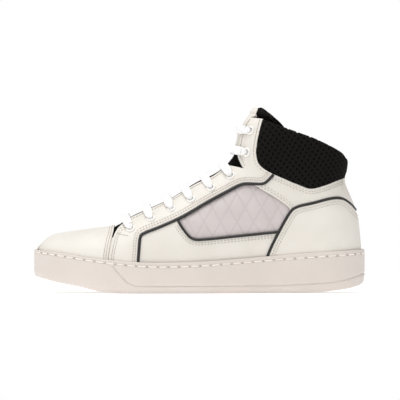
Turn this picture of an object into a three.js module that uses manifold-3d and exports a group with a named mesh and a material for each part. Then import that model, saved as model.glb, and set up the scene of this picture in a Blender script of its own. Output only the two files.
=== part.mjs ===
// High-top trainer, left foot: a cupsole shoe with a leather upper, a padded mesh collar,
// a mesh tongue and a flat lace in straight bars. Millimetres, +Z up, toe at -X, heel at +X,
// outer (lateral) side at -Y, inner (medial) side at +Y, ground at z = 0.
import * as THREE from 'three';
import { mergeVertices } from 'three/addons/utils/BufferGeometryUtils.js';
import Module from 'manifold-3d';

const wasm = await Module();
wasm.setup();

// ---------------------------------------------------------------- driving dimensions
const SHOE_LENGTH = 304; // outsole, toe to heel
const SHOE_HEIGHT = 170; // ground to the top of the tongue patch
const BALL_HALF_WIDTH = 53; // outsole at the ball of the foot
const HEEL_HALF_WIDTH = 38; // outsole at the heel
const TOE_ROUND = 74; // how far back from the toe the outline keeps widening
const HEEL_ROUND = 38; // the same, forward from the heel
const TOE_SWING = 8; // how far the big toe's tip lies towards the inner side
const WAIST_SWING = -2; // how far the waist lies towards the outer side
const TOE_POWER = 2.3; // roundness of the toe's outline; 2 is an ellipse
const HEEL_POWER = 2.2;
const UPPER_POWER = 2.2; // roundness of the upper's cross-section

const LIP_WALL = 2.2; // cup wall beside the upper
const CUP_DEPTH = 9; // how far the upper stands down inside the cup
const SOLE_WALL = 5; // cup wall beside the foam
const SOLE_FLOOR = 4; // rubber under the foam
const BOARD_THICKNESS = 2;
const FOOTBED_THICKNESS = 5;
const THREAD = 1; // sole stitching thread
const GROOVE_WIDTH = 1.8;
const GROOVE_DEPTH = 1.3;

const CUP_GAP = 0.8; // between the cup and the upper
const GAP = 0.3; // between pieces that touch on the real shoe
const LEATHER = 1.2; // outer leather overlays
const UNDERLAY = 1; // panels sewn under the overlays
const STIFFENER = 0.8; // toe puff, heel counter, window backing
const LINING = 0.8;
const BACKING_INSET = 0.8; // eyelet backing, in from the facing's edge
const SEAM_LAP = 5; // how far a panel runs on under the overlay beside it
const PIPING = 2.2; // width of the piping beads
const COLLAR_PAD = 5; // extra padding at the back of the collar
const COLLAR_MESH = 1.2;
const TONGUE_MESH = 1;
const TONGUE_FOAM = 4;
const PATCH = 1.2;

const EYELET_RADIUS = 4.2;
const EYELET_HOLE = 2.4;
const EYELET_WALL = 0.6;
const EYELET_FLANGE = 0.8;
const HOLE_SIDES = 8;
const LACE_WIDTH = 8;
const LACE_THICKNESS = 1.4;
const LACE_PINCH = 3; // lace width where it passes an eyelet

// Depths of the layers below the outer surface of the upper.
const UNDERLAY_TOP = LEATHER + GAP;
const STIFFENER_TOP = UNDERLAY_TOP + UNDERLAY + GAP;
const LINING_TOP = STIFFENER_TOP + STIFFENER + GAP;
const LINING_FACE = LINING_TOP + LINING;
const LACE_ROOM = 1.8; // slack under the facings, between them and the lace
const TONGUE_DEPTH = LINING_FACE + 2 * GAP + LACE_ROOM;

// Outlines are drawn for this shoe and stretched to the driving length and height.
const DRAWN_LENGTH = 304;
const DRAWN_HEIGHT = 170;
const STRETCH = SHOE_LENGTH / DRAWN_LENGTH;
const RISE = SHOE_HEIGHT / DRAWN_HEIGHT;
const TOE_END = -SHOE_LENGTH / 2;
const HEEL_END = SHOE_LENGTH / 2;

// ---------------------------------------------------------------- small helpers
const clamp = THREE.MathUtils.clamp;
const lerp = THREE.MathUtils.lerp;

function smooth(from, to, value) {
  return THREE.MathUtils.smoothstep(value, Math.min(from, to), Math.max(from, to));
}

function place(x, z) {
  return new THREE.Vector2(x * STRETCH, z * RISE);
}

// A smooth run of side-view points, given as x, z pairs on the drawn shoe.
function run(pairs, divisions = 24) {
  const points = pairs.map(([x, z]) => place(x, z));
  if (points.length < 3) return points;
  return new THREE.SplineCurve(points).getPoints(divisions);
}

const SAME_POINT = 0.05; // points nearer than this are one corner

// An outline made of runs that meet at corners.
function outline(...runs) {
  const points = [];
  for (const piece of runs) {
    for (const point of piece) {
      const last = points[points.length - 1];
      if (!last || last.distanceTo(point) > SAME_POINT) points.push(point);
    }
  }
  if (points[0].distanceTo(points[points.length - 1]) < SAME_POINT) points.pop();
  return points;
}

// Height of a curve, given as a run, at a place along the shoe.
function heightOn(curve, x) {
  if (x <= curve[0].x) return curve[0].y;
  for (let i = 1; i < curve.length; i += 1) {
    if (x <= curve[i].x) {
      const share = (x - curve[i - 1].x) / (curve[i].x - curve[i - 1].x);
      return lerp(curve[i - 1].y, curve[i].y, share);
    }
  }
  return curve[curve.length - 1].y;
}

function toSolid(geometry) {
  const bare = geometry.index ? geometry.toNonIndexed() : geometry.clone();
  bare.deleteAttribute('normal');
  bare.deleteAttribute('uv');
  const merged = mergeVertices(bare, 1e-4);
  const index = merged.index.array;
  const kept = [];
  for (let i = 0; i < index.length; i += 3) {
    const [a, b, c] = [index[i], index[i + 1], index[i + 2]];
    if (a !== b && b !== c && c !== a) kept.push(a, b, c);
  }
  const mesh = new wasm.Mesh({
    numProp: 3,
    vertProperties: new Float32Array(merged.attributes.position.array),
    triVerts: new Uint32Array(kept),
  });
  return new wasm.Manifold(mesh);
}

function toGeometry(solid) {
  const mesh = solid.getMesh();
  const geometry = new THREE.BufferGeometry();
  geometry.setAttribute('position', new THREE.BufferAttribute(new Float32Array(mesh.vertProperties), 3));
  geometry.setIndex(new THREE.BufferAttribute(new Uint32Array(mesh.triVerts), 1));
  geometry.computeVertexNormals();
  return geometry;
}

// ---------------------------------------------------------------- materials
function finish(color, roughness, metalness = 0) {
  return new THREE.MeshStandardMaterial({ color, roughness, metalness });
}

const whiteLeather = () => finish(0xf0ece6, 0.5);
const windowLeather = () => finish(0xd2cbce, 0.55);
const soleRubber = () => finish(0xe6dcd4, 0.6);
const blackPiping = () => finish(0x1b1a19, 0.55);
const blackMesh = () => finish(0x211f1e, 0.95);
const whiteTextile = () => finish(0xeeebe6, 0.9);
const paleFoam = () => finish(0xd9d5cb, 0.95);
const fibreBoard = () => finish(0xb9a78c, 0.9);
const laceCotton = () => finish(0xfbfaf8, 0.9);
const whiteEnamel = () => finish(0xf4f2ee, 0.35);

const group = new THREE.Group();

function add(name, solid, material) {
  const mesh = new THREE.Mesh(toGeometry(solid), material);
  mesh.name = name;
  group.add(mesh);
}

// ---------------------------------------------------------------- plan outline of the shoe
// Half the width at x of the outsole outline drawn in by `inset`.
function footprintHalf(x, inset, heelHalf = HEEL_HALF_WIDTH, heelEnd = HEEL_END) {
  const fromToe = clamp(x - (TOE_END + inset), 0, TOE_ROUND - inset) / (TOE_ROUND - inset);
  const fromHeel = clamp(heelEnd - inset - x, 0, HEEL_ROUND - inset) / (HEEL_ROUND - inset);
  const toeShape = (1 - (1 - fromToe) ** TOE_POWER) ** (1 / TOE_POWER);
  const heelShape = (1 - (1 - fromHeel) ** HEEL_POWER) ** (1 / HEEL_POWER);
  const waist = smooth(-70 * STRETCH, 78 * STRETCH, x);
  const full = lerp(BALL_HALF_WIDTH, heelHalf, waist) - inset;
  return full * toeShape * heelShape;
}

// The centre line bends towards the inner side at the toe and outwards at the waist.
function centreLine(x) {
  const toe = TOE_SWING * (1 - smooth(-140 * STRETCH, -45 * STRETCH, x));
  const waist = smooth(-75 * STRETCH, -10 * STRETCH, x) * (1 - smooth(20 * STRETCH, 90 * STRETCH, x));
  return toe + WAIST_SWING * waist;
}

// ---------------------------------------------------------------- side profile of the shoe
const lipLine = run([[-152, 39.5], [-128, 36.8], [-100, 32.5], [-72, 29.5], [-40, 28], [0, 29],
  [47, 32.3], [92, 36.3], [130, 38.6], [152, 40]], 40);
const grooveLine = run([[-152, 37.6], [-128, 34.2], [-100, 29.8], [-72, 26.3], [-40, 24.2], [0, 25],
  [47, 28.5], [92, 32], [130, 34.6], [152, 36.5]], 40);
const groundLine = outline(run([[-152, 14.5], [-143, 12.4], [-128, 9], [-110, 5.6], [-95, 2.2],
  [-80, 0.7], [-64, 0]]),
  [place(84, 0)], run([[84, 0], [110, 0.9], [135, 3.5], [148, 6.5], [152, 9]]));

const lipHeight = (x) => heightOn(lipLine, x);
const baseHeight = (x) => heightOn(lipLine, x) - CUP_DEPTH;
const groundHeight = (x) => heightOn(groundLine, x);

// Back of the heel, from the cup up to above the collar.
const backLine = run([[148.6, 20], [148.6, 41], [147, 60], [145, 73], [140.5, 86], [134.5, 101], [136.3, 112],
  [137, 120], [136.5, 130], [137, 145], [138, 160]], 40);

function backAt(z) {
  for (let i = 1; i < backLine.length; i += 1) {
    if (z <= backLine[i].y) {
      const share = clamp((z - backLine[i - 1].y) / (backLine[i].y - backLine[i - 1].y), 0, 1);
      return lerp(backLine[i - 1].x, backLine[i].x, share);
    }
  }
  return backLine[backLine.length - 1].x;
}

// Top of the shoe seen from the side: toe box, throat ridge and front of the ankle.
const toeTip = place(-149.3, 39);
const ridgeLine = [toeTip, ...run([[-146.5, 43.5], [-140, 50], [-132.5, 53.6], [-117, 56.4],
  [-98, 59], [-82, 61],
  [-74, 64.5], [-61, 73], [-44, 80.5], [-26, 89], [-4, 103], [12, 110.5], [22, 117.5], [30, 127], [33.5, 137],
  [36, 147], [40, 157], [46, 165], [53, 173], [58, 182]], 96)];

// Bottom and back of the upper, from the toe tip round to the top of the heel.
const baseLine = [];
for (let i = 0; i <= 60; i += 1) {
  const x = lerp(-148.3 * STRETCH, backAt(20), i / 60);
  baseLine.push(new THREE.Vector2(x, baseHeight(x)));
}
const outerLine = [toeTip, ...baseLine, ...backLine.filter((point) => point.y > baseHeight(HEEL_END) + 1)];

// The upper is measured along rays that fan out from a point above the throat.
const FAN = place(-36, 213);
const RAYS = 22;
const TOE_RAYS = 4; // rays that close up towards the toe as the form is drawn in
const STEPS = 6;
const ROUNDING = 64; // depth below the ridge at which the upper is at its full width
const ROUNDED_SHARE = 0.92; // the same on a short ray, as a share of its length
const STEEPEST = 1.8; // limit on how far a depth is stretched where a ray meets the ridge at a slant

function polar(line, scaleX) {
  return line.map((point) => {
    const away = new THREE.Vector2(point.x * scaleX - FAN.x, point.y - FAN.y);
    return { angle: Math.atan2(away.y, away.x), radius: away.length(), point };
  });
}

function crossing(line, angle) {
  for (let i = 1; i < line.length; i += 1) {
    const low = line[i - 1];
    const high = line[i];
    if (angle <= high.angle) {
      const share = clamp((angle - low.angle) / (high.angle - low.angle), 0, 1);
      const radius = lerp(low.radius, high.radius, share);
      const sweep = radius * (high.angle - low.angle);
      const slant = Math.hypot(high.radius - low.radius, sweep) / Math.max(Math.abs(sweep), 1e-6);
      return { radius, slant: Math.min(slant, STEEPEST) };
    }
  }
  return { radius: line[line.length - 1].radius, slant: 1 };
}

const ridgePolar = polar(ridgeLine, 1);
const FIRST_RAY = ridgePolar[0].angle;
const LAST_RAY = Math.min(ridgePolar[ridgePolar.length - 1].angle, polar(outerLine, 1).pop().angle) - 0.01;

function onRay(angle, radius) {
  return new THREE.Vector2(FAN.x + Math.cos(angle) * radius, FAN.y + Math.sin(angle) * radius);
}

// Half width of the heel and ankle at a height.
function ankleHalf(z) {
  const heel = HEEL_HALF_WIDTH - LIP_WALL;
  return heel - 3.2 * smooth(55 * RISE, 100 * RISE, z) + 3 * smooth(112 * RISE, 160 * RISE, z);
}

// Half width of the upper at a point `below` the ridge on a ray `length` long.
function upperHalf(point, depth, below, length) {
  const ankle = ankleHalf(point.y) + LIP_WALL;
  const foot = footprintHalf(point.x, depth + LIP_WALL, ankle, backAt(point.y) + LIP_WALL);
  const rounding = Math.max(Math.min(ROUNDED_SHARE * length, ROUNDING) - depth, 1);
  const share = clamp(below / rounding, 0, 1);
  return foot * (1 - (1 - share) ** UPPER_POWER) ** (1 / UPPER_POWER);
}

// Ridge and outer end of a ray on the form drawn in by a depth.
function rayEnds(angle, depthAt, outerPolar) {
  const ridge = crossing(ridgePolar, angle);
  const ridgeDepth = depthAt(onRay(angle, ridge.radius));
  const outer = crossing(outerPolar, angle);
  return {
    near: ridge.radius + ridgeDepth * ridge.slant,
    far: outer.radius,
    length: outer.radius - ridge.radius,
    ridge: ridge.radius,
    slant: ridge.slant,
  };
}

// The upper as one closed form, drawn in from its outer surface by a depth, which may vary.
function form(depth) {
  const depthAt = typeof depth === 'number' ? () => depth : depth;
  const backDepth = depthAt(place(136, 120));
  const outerPolar = polar(outerLine, 1 - backDepth / (SHOE_LENGTH / 2));
  const start = firstOpenRay(depthAt, outerPolar);
  const rows = [];
  for (let i = 0; i <= RAYS; i += 1) {
    const angle = i < TOE_RAYS ? lerp(start, rayAngle(TOE_RAYS), (i / TOE_RAYS) ** 1.2) : rayAngle(i);
    const ends = rayEnds(angle, depthAt, outerPolar);
    const row = [];
    for (let j = 0; j <= STEPS; j += 1) {
      const eased = (1 - Math.cos(Math.PI * (j / STEPS) ** 1.2)) / 2;
      const radius = lerp(ends.near, ends.far, eased);
      const point = onRay(angle, radius);
      const here = depthAt(point);
      const below = Math.max(radius - ends.ridge - here * ends.slant, 0);
      const half = i === 0 || j === 0 ? 0 : upperHalf(point, here, below, ends.length);
      row.push({ x: point.x, z: point.y, half });
    }
    if (i === 0) row.fill(row[STEPS]);
    rows.push(row);
  }
  return closeRows(rows);
}

function rayAngle(i) {
  return lerp(FIRST_RAY, LAST_RAY, (i / RAYS) ** 1.35);
}

// The ray at the toe on which the ridge and the outer end of a drawn-in form meet.
function firstOpenRay(depthAt, outerPolar) {
  let low = FIRST_RAY + Math.min(depthAt(toeTip), 0) / ridgePolar[0].radius;
  let high = FIRST_RAY + 0.2;
  for (let i = 0; i < 30; i += 1) {
    const middle = (low + high) / 2;
    const ends = rayEnds(middle, depthAt, outerPolar);
    if (ends.far > ends.near) high = middle;
    else low = middle;
  }
  return high;
}

// Closed solid over rows of points that are mirrored about the centre line.
function closeRows(rows) {
  const positions = [];
  const at = (cell, side) => [cell.x, centreLine(cell.x) + side * cell.half, cell.z];
  const face = (a, b, c, d) => {
    positions.push(...a, ...b, ...c, ...a, ...c, ...d);
  };
  const last = rows.length - 1;
  for (let i = 0; i < last; i += 1) {
    for (let j = 0; j < STEPS; j += 1) {
      const [a, b, c, d] = [rows[i][j], rows[i + 1][j], rows[i + 1][j + 1], rows[i][j + 1]];
      face(at(a, -1), at(d, -1), at(c, -1), at(b, -1));
      face(at(a, 1), at(b, 1), at(c, 1), at(d, 1));
    }
    const [near, far] = [rows[i][STEPS], rows[i + 1][STEPS]];
    face(at(near, 1), at(far, 1), at(far, -1), at(near, -1));
  }
  for (let j = 0; j < STEPS; j += 1) {
    const [top, low] = [rows[last][j], rows[last][j + 1]];
    face(at(top, -1), at(low, -1), at(low, 1), at(top, 1));
  }
  const geometry = new THREE.BufferGeometry();
  geometry.setAttribute('position', new THREE.Float32BufferAttribute(positions, 3));
  return toSolid(geometry);
}

const outerPolar0 = polar(outerLine, 1);
const forms = new Map();

function formAt(depth) {
  const key = depth.toFixed(3);
  if (!forms.has(key)) forms.set(key, form(depth));
  return forms.get(key);
}

// A point on the upper and its outward normal, from its side-view place.
function surfacePoint(point, depth, side) {
  const away = new THREE.Vector2(point.x - FAN.x, point.y - FAN.y);
  const angle = Math.atan2(away.y, away.x);
  const ends = rayEnds(angle, () => depth, outerPolar0);
  const half = upperHalf(point, depth, away.length() - ends.near, ends.length);
  return new THREE.Vector3(point.x, centreLine(point.x) + side * half, point.y);
}

function surfaceNormal(point, depth, side) {
  const step = 0.5;
  const here = surfacePoint(point, depth, side);
  const along = surfacePoint(new THREE.Vector2(point.x + step, point.y), depth, side).sub(here);
  const up = surfacePoint(new THREE.Vector2(point.x, point.y + step), depth, side).sub(here);
  return new THREE.Vector3().crossVectors(along, up).multiplyScalar(-side).normalize();
}

// ---------------------------------------------------------------- cutting panels out of the form
const REACH = 120; // past either side of the shoe

// A block with a side-view outline; side -1 is lateral, 1 is medial, 0 is right across.
function block(points, side = 0) {
  const shape = new THREE.Shape(points);
  const depth = side === 0 ? 2 * REACH : REACH;
  const geometry = new THREE.ExtrudeGeometry(shape, { depth, bevelEnabled: false });
  geometry.rotateX(Math.PI / 2);
  geometry.translate(0, side < 0 ? 0 : REACH, 0);
  return toSolid(geometry);
}

// A side-view outline grown outwards (or drawn in, when negative) by a margin. Corners that
// would fold over themselves are closed up.
function grown(points, margin) {
  const turn = THREE.ShapeUtils.area(points) > 0 ? 1 : -1;
  let kept = points.map((point, index) => ({ point, index }));
  for (let pass = 0; pass < 12; pass += 1) {
    const moved = kept.map(({ point }, i) => shifted(kept, i, point, turn * margin));
    const folded = kept.map(({ point }, i) => {
      const next = (i + 1) % kept.length;
      const before = new THREE.Vector2().subVectors(kept[next].point, point);
      return before.dot(new THREE.Vector2().subVectors(moved[next], moved[i])) <= 0;
    });
    if (!folded.includes(true)) return moved;
    kept = joinFolded(kept, folded);
  }
  throw new Error('an outline folds over itself');
}

// A corner moved square to its two sides.
function shifted(corners, i, here, distance) {
  const count = corners.length;
  const into = new THREE.Vector2().subVectors(here, corners[(i + count - 1) % count].point).normalize();
  const out = new THREE.Vector2().subVectors(corners[(i + 1) % count].point, here).normalize();
  const normal = new THREE.Vector2(into.y + out.y, -into.x - out.x).normalize();
  const stretch = 1 / Math.max(normal.dot(new THREE.Vector2(into.y, -into.x)), 0.5);
  return here.clone().addScaledVector(normal, distance * stretch);
}

// Replaces each folded side of an outline with the point in its middle.
function joinFolded(corners, folded) {
  const result = [];
  for (let i = 0; i < corners.length; i += 1) {
    const previous = (i + corners.length - 1) % corners.length;
    if (folded[i] && !folded[previous]) {
      const next = corners[(i + 1) % corners.length].point;
      result.push({ point: corners[i].point.clone().add(next).multiplyScalar(0.5) });
    } else if (!folded[previous]) {
      result.push(corners[i]);
    }
  }
  return result;
}

// A ribbon of a given width laid along a side-view line.
function ribbon(line, width) {
  const left = [];
  const right = [];
  for (let i = 0; i < line.length; i += 1) {
    const before = line[Math.max(i - 1, 0)];
    const after = line[Math.min(i + 1, line.length - 1)];
    const along = new THREE.Vector2().subVectors(after, before).normalize();
    const across = new THREE.Vector2(-along.y, along.x).multiplyScalar(width / 2);
    left.push(line[i].clone().add(across));
    right.unshift(line[i].clone().sub(across));
  }
  return [...left, ...right];
}

// A layer of the upper between two depths, inside an outline.
function layer(points, top, thickness, side) {
  return formAt(top).subtract(formAt(top + thickness)).intersect(block(points, side));
}

const SIDES = [['lateral', -1], ['medial', 1]];
const everywhere = [place(-200, -60), place(200, -60), place(200, 300), place(-200, 300)];
const halfOf = (side) => block(everywhere, side);
const aboveGround = (x) => place(x, 0).setY(baseHeight(place(x, 0).x) + GAP);

// ---------------------------------------------------------------- panel outlines
const baseFrom = (from, to) => {
  const points = [];
  for (let i = 0; i <= 8; i += 1) points.push(aboveGround(lerp(from, to, i / 8)));
  return points;
};

const capSeam = run([[-82.5, 22], [-82.5, 34], [-80.5, 47], [-78.5, 55], [-77.5, 62], [-77, 72]], 6);
const facingFront = run([[-82, 22], [-81.8, 34], [-79.5, 46], [-77.5, 53.5], [-74, 60], [-68.5, 65.5]], 7);
const facingTop = run([[-68.5, 65.5], [-61, 70.3], [-44, 78], [-26, 86.5], [-4, 99.8], [12, 107],
  [24, 116]], 8);
const notchLow = run([[24, 116], [28, 116.8], [40.5, 114]], 3);
const notchHigh = run([[40.5, 114], [37.5, 119.5], [34.5, 127], [35.8, 136], [38, 146], [41.5, 155.5],
  [45.5, 161]], 7);
const facingCollar = run([[57.5, 159], [54.5, 148], [52.3, 137], [51.5, 128], [53.5, 119],
  [59, 113.3], [66.5, 109]], 7);
const facingRear = run([[66.5, 109], [62, 104], [57, 101], [46, 101.2], [37.5, 100.5], [24, 93.8],
  [6, 84], [-16, 71.2], [-36, 62], [-50, 56.4], [-54.5, 52], [-56, 38], [-57, 22]], 17);
const facingTip = [place(57.5, 159)];
const facingOutline = outline(facingFront, facingTop, notchLow, notchHigh, facingTip, facingCollar,
  facingRear);

const counterEdge = run([[60, 24], [66, 40], [74, 56], [83.5, 72.5], [90, 77.6], [104, 81], [120, 85],
  [130, 85.2], [138, 80.5], [146, 72.5], [156, 66]], 18);
const counterOutline = outline(counterEdge, [place(156, 22), place(60, 22)]);

const quarterTop = run([[-24, 74], [-20.5, 68.5], [-14, 58], [-6, 49.8], [6, 49.2], [32, 51.6],
  [56, 54], [80, 56.5]], 12);
const bandDiagonal = run([[46, 101.5], [54, 96.3], [69.5, 87], [80, 79.5], [83.5, 74], [85, 66]], 7);
const collarLow = run([[66.5, 109], [78, 104], [92.5, 98], [102, 95.2], [114.5, 98], [134.5, 105],
  [146, 108]], 9);
const collarTop = run([[146, 122], [136.5, 124.5], [131, 130], [111, 139.3], [92.5, 146], [74.5, 152.6],
  [57.5, 159]], 10);
const collarOutline = outline(facingCollar, collarLow, collarTop);

// ---------------------------------------------------------------- cupsole
const SOLE_STATIONS = 24;
const PAST_END = 165; // a place past both ends of the shoe
const PAST_TOP = 260;
const ABOVE_SOLE = 80; // a height past the top of the cup
const GROOVE_OVERCUT = 3; // how far the groove's cutter stands out of the sole

// A slab with the footprint's outline between two height lines; `drawIn` gives the inset at
// each of its levels from bottom (0) to top (1).
function soleSlab(lowAt, highAt, drawIn) {
  const positions = [];
  const grid = [];
  for (let i = 0; i <= SOLE_STATIONS; i += 1) {
    const share = (1 - Math.cos((Math.PI * i) / SOLE_STATIONS)) / 2;
    grid.push(drawIn.map(([level, inset]) => {
      const x = lerp(TOE_END + inset, HEEL_END - inset, share);
      const ended = i === 0 || i === SOLE_STATIONS;
      const half = ended ? 0 : footprintHalf(x, inset);
      return { x, half, z: lerp(lowAt(x), highAt(x), level) };
    }));
  }
  const at = (cell, side) => [cell.x, centreLine(cell.x) + side * cell.half, cell.z];
  const face = (a, b, c, d) => positions.push(...a, ...b, ...c, ...a, ...c, ...d);
  const top = drawIn.length - 1;
  for (let i = 0; i < SOLE_STATIONS; i += 1) {
    const [here, next] = [grid[i], grid[i + 1]];
    for (let k = 0; k < top; k += 1) {
      face(at(here[k], -1), at(next[k], -1), at(next[k + 1], -1), at(here[k + 1], -1));
      face(at(here[k], 1), at(here[k + 1], 1), at(next[k + 1], 1), at(next[k], 1));
    }
    face(at(here[0], -1), at(here[0], 1), at(next[0], 1), at(next[0], -1));
    face(at(here[top], -1), at(next[top], -1), at(next[top], 1), at(here[top], 1));
  }
  const geometry = new THREE.BufferGeometry();
  geometry.setAttribute('position', new THREE.Float32BufferAttribute(positions, 3));
  return toSolid(geometry);
}

// A straight-sided slab drawn in by one inset.
function plainSlab(lowAt, highAt, inset) {
  return soleSlab(lowAt, highAt, [[0, inset], [1, inset]]);
}

const grooveHeight = (x) => heightOn(grooveLine, x);
const partingEdge = outline([place(-80, 60), place(-80, 27)], run([[-80, 27], [-75, 20], [-68, 12.5],
  [-61, 8], [-45, 6.6], [47, 7], [92, 8], [120, 10.2], [138, 13.6], [156, 20]], 30), [place(156, 60)]);

function makeSole() {
  const body = soleSlab(groundHeight, lipHeight, [[0, 4], [0.08, 1.3], [0.25, 0.2], [0.85, 0.2], [1, 1]]);
  const foot = formAt(-CUP_GAP);
  const hollow = plainSlab((x) => groundHeight(x) + SOLE_FLOOR, () => ABOVE_SOLE, SOLE_WALL);
  const grooveLow = (x) => grooveHeight(x) - GROOVE_WIDTH / 2;
  const grooveHigh = (x) => grooveHeight(x) + GROOVE_WIDTH / 2;
  const grooveCut = plainSlab(grooveLow, grooveHigh, -GROOVE_OVERCUT)
    .subtract(plainSlab(() => -ABOVE_SOLE, () => ABOVE_SOLE, GROOVE_DEPTH));
  const shell = body.subtract(foot).subtract(hollow.intersect(belowUpper(ABOVE_SOLE))).subtract(grooveCut);
  const sidewallBlock = block(partingEdge);
  const bumperBlock = block(grown(partingEdge, GAP));
  add('cup_sidewall', shell.intersect(sidewallBlock), soleRubber());
  add('outsole', shell.subtract(bumperBlock), soleRubber());
  const foam = plainSlab((x) => groundHeight(x) + SOLE_FLOOR + GAP, () => ABOVE_SOLE, SOLE_WALL + GAP);
  add('midsole_foam', foam.intersect(belowUpper(-GAP)), paleFoam());
  const thread = plainSlab((x) => grooveHeight(x) - THREAD / 2, (x) => grooveHeight(x) + THREAD / 2, GAP)
    .subtract(plainSlab(() => -ABOVE_SOLE, () => ABOVE_SOLE, GAP + THREAD * 0.7));
  add('sole_stitch_thread', thread, laceCotton());
}

// Everything under the bottom of the upper, raised by a margin.
function belowUpper(margin) {
  const low = -REACH;
  const points = baseFrom(-PAST_END, PAST_END).map((point) => point.clone().setY(point.y - GAP + margin));
  return block([...points, place(PAST_END, 0).setY(low), place(-PAST_END, 0).setY(low)]);
}

// A layer on the floor inside the upper.
function floorLayer(from, thickness) {
  const inside = formAt(LINING_FACE + GAP);
  return inside.intersect(belowUpper(from + thickness)).subtract(belowUpper(from));
}

function makeFootFloor() {
  add('insole_board', floorLayer(GAP, BOARD_THICKNESS), fibreBoard());
  add('footbed', floorLayer(2 * GAP + BOARD_THICKNESS, FOOTBED_THICKNESS), whiteTextile());
}

// ---------------------------------------------------------------- eyelets and their places
const eyeletPlaces = [[-62.5, 59], [-44, 68.5], [-25.5, 77.5], [-7.5, 86], [10.5, 96.5],
  [28.5, 107.5], [43, 128.5], [46.5, 148.5]].map(([x, z]) => place(x, z));
// The side-view direction in which each lace bar leaves its eyelet, square to the facing edge.
const barDirections = [[-0.45, 0.89], [-0.42, 0.91], [-0.44, 0.9], [-0.5, 0.87], [-0.52, 0.85],
  [-0.55, 0.83], [-0.98, 0.2], [-0.99, 0.1]].map(([x, z]) => new THREE.Vector2(x, z).normalize());

function seat(hole, side, depth = 0) {
  const normal = surfaceNormal(hole, depth, side);
  const turn = new THREE.Quaternion().setFromUnitVectors(new THREE.Vector3(0, 1, 0), normal);
  return { spot: surfacePoint(hole, depth, side), normal, turn };
}

// A ring with a flange on the leather and a barrel through it.
function eyeletSolid(hole, side) {
  const barrel = EYELET_HOLE + EYELET_WALL;
  const foot = -(UNDERLAY_TOP + UNDERLAY);
  const rise = GAP + EYELET_FLANGE;
  const profile = [[EYELET_HOLE, foot], [barrel, foot], [barrel, GAP], [EYELET_RADIUS, GAP],
    [EYELET_RADIUS - 0.3, rise], [EYELET_HOLE, rise], [EYELET_HOLE, foot]];
  const geometry = new THREE.LatheGeometry(profile.map(([x, y]) => new THREE.Vector2(x, y)), HOLE_SIDES);
  const { spot, turn } = seat(hole, side);
  geometry.applyQuaternion(turn);
  geometry.translate(spot.x, spot.y, spot.z);
  return toSolid(geometry);
}

// Round holes for the eyelet barrels through all layers.
function eyeletHoles(side, radius = EYELET_HOLE + EYELET_WALL + GAP) {
  const holes = eyeletPlaces.map((hole) => {
    const { spot, turn } = seat(hole, side);
    const geometry = new THREE.CylinderGeometry(radius, radius, 16, HOLE_SIDES);
    geometry.applyQuaternion(turn);
    geometry.translate(spot.x, spot.y, spot.z);
    return toSolid(geometry);
  });
  return holes.reduce((all, hole) => all.add(hole));
}

// ---------------------------------------------------------------- upper
function makeToe() {
  const front = outline(capSeam, [place(-160, 80), place(-160, 22)]);
  const above = floorCut();
  add('toe_cap', layer(grown(front, -GAP / 2), 0, LEATHER, 0).intersect(above), whiteLeather());
  const puff = outline(run([[-96, 22], [-95, 40], [-92, 70]], 6), [place(-160, 80), place(-160, 22)]);
  add('toe_puff', layer(puff, STIFFENER_TOP, STIFFENER, 0).intersect(above), fibreBoard());
  const vampEdge = run([[-60, 22], [-60, 46], [-66, 58], [-74, 80]], 10);
  const vamp = outline(vampEdge, run([[-92, 80], [-95, 50], [-96, 22]], 4));
  add('vamp', layer(vamp, UNDERLAY_TOP, UNDERLAY, 0).intersect(above), whiteLeather());
  add('vamp_lining', layer(vampLiningOutline(), LINING_TOP, LINING, 0).intersect(above), whiteTextile());
}

// The lining of the toe box ends at the throat; the side linings begin a gap behind it.
const liningSeam = run([[-58, 20], [-60, 42], [-68, 56], [-76, 80]], 10);

function vampLiningOutline() {
  return outline(liningSeam, [place(-160, 80), place(-160, 20)]);
}

// Keeps pieces of the upper above the bottom of the cup.
function floorCut() {
  return block([...baseFrom(-PAST_END, PAST_END), place(PAST_END, PAST_TOP), place(-PAST_END, PAST_TOP)]);
}

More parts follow.
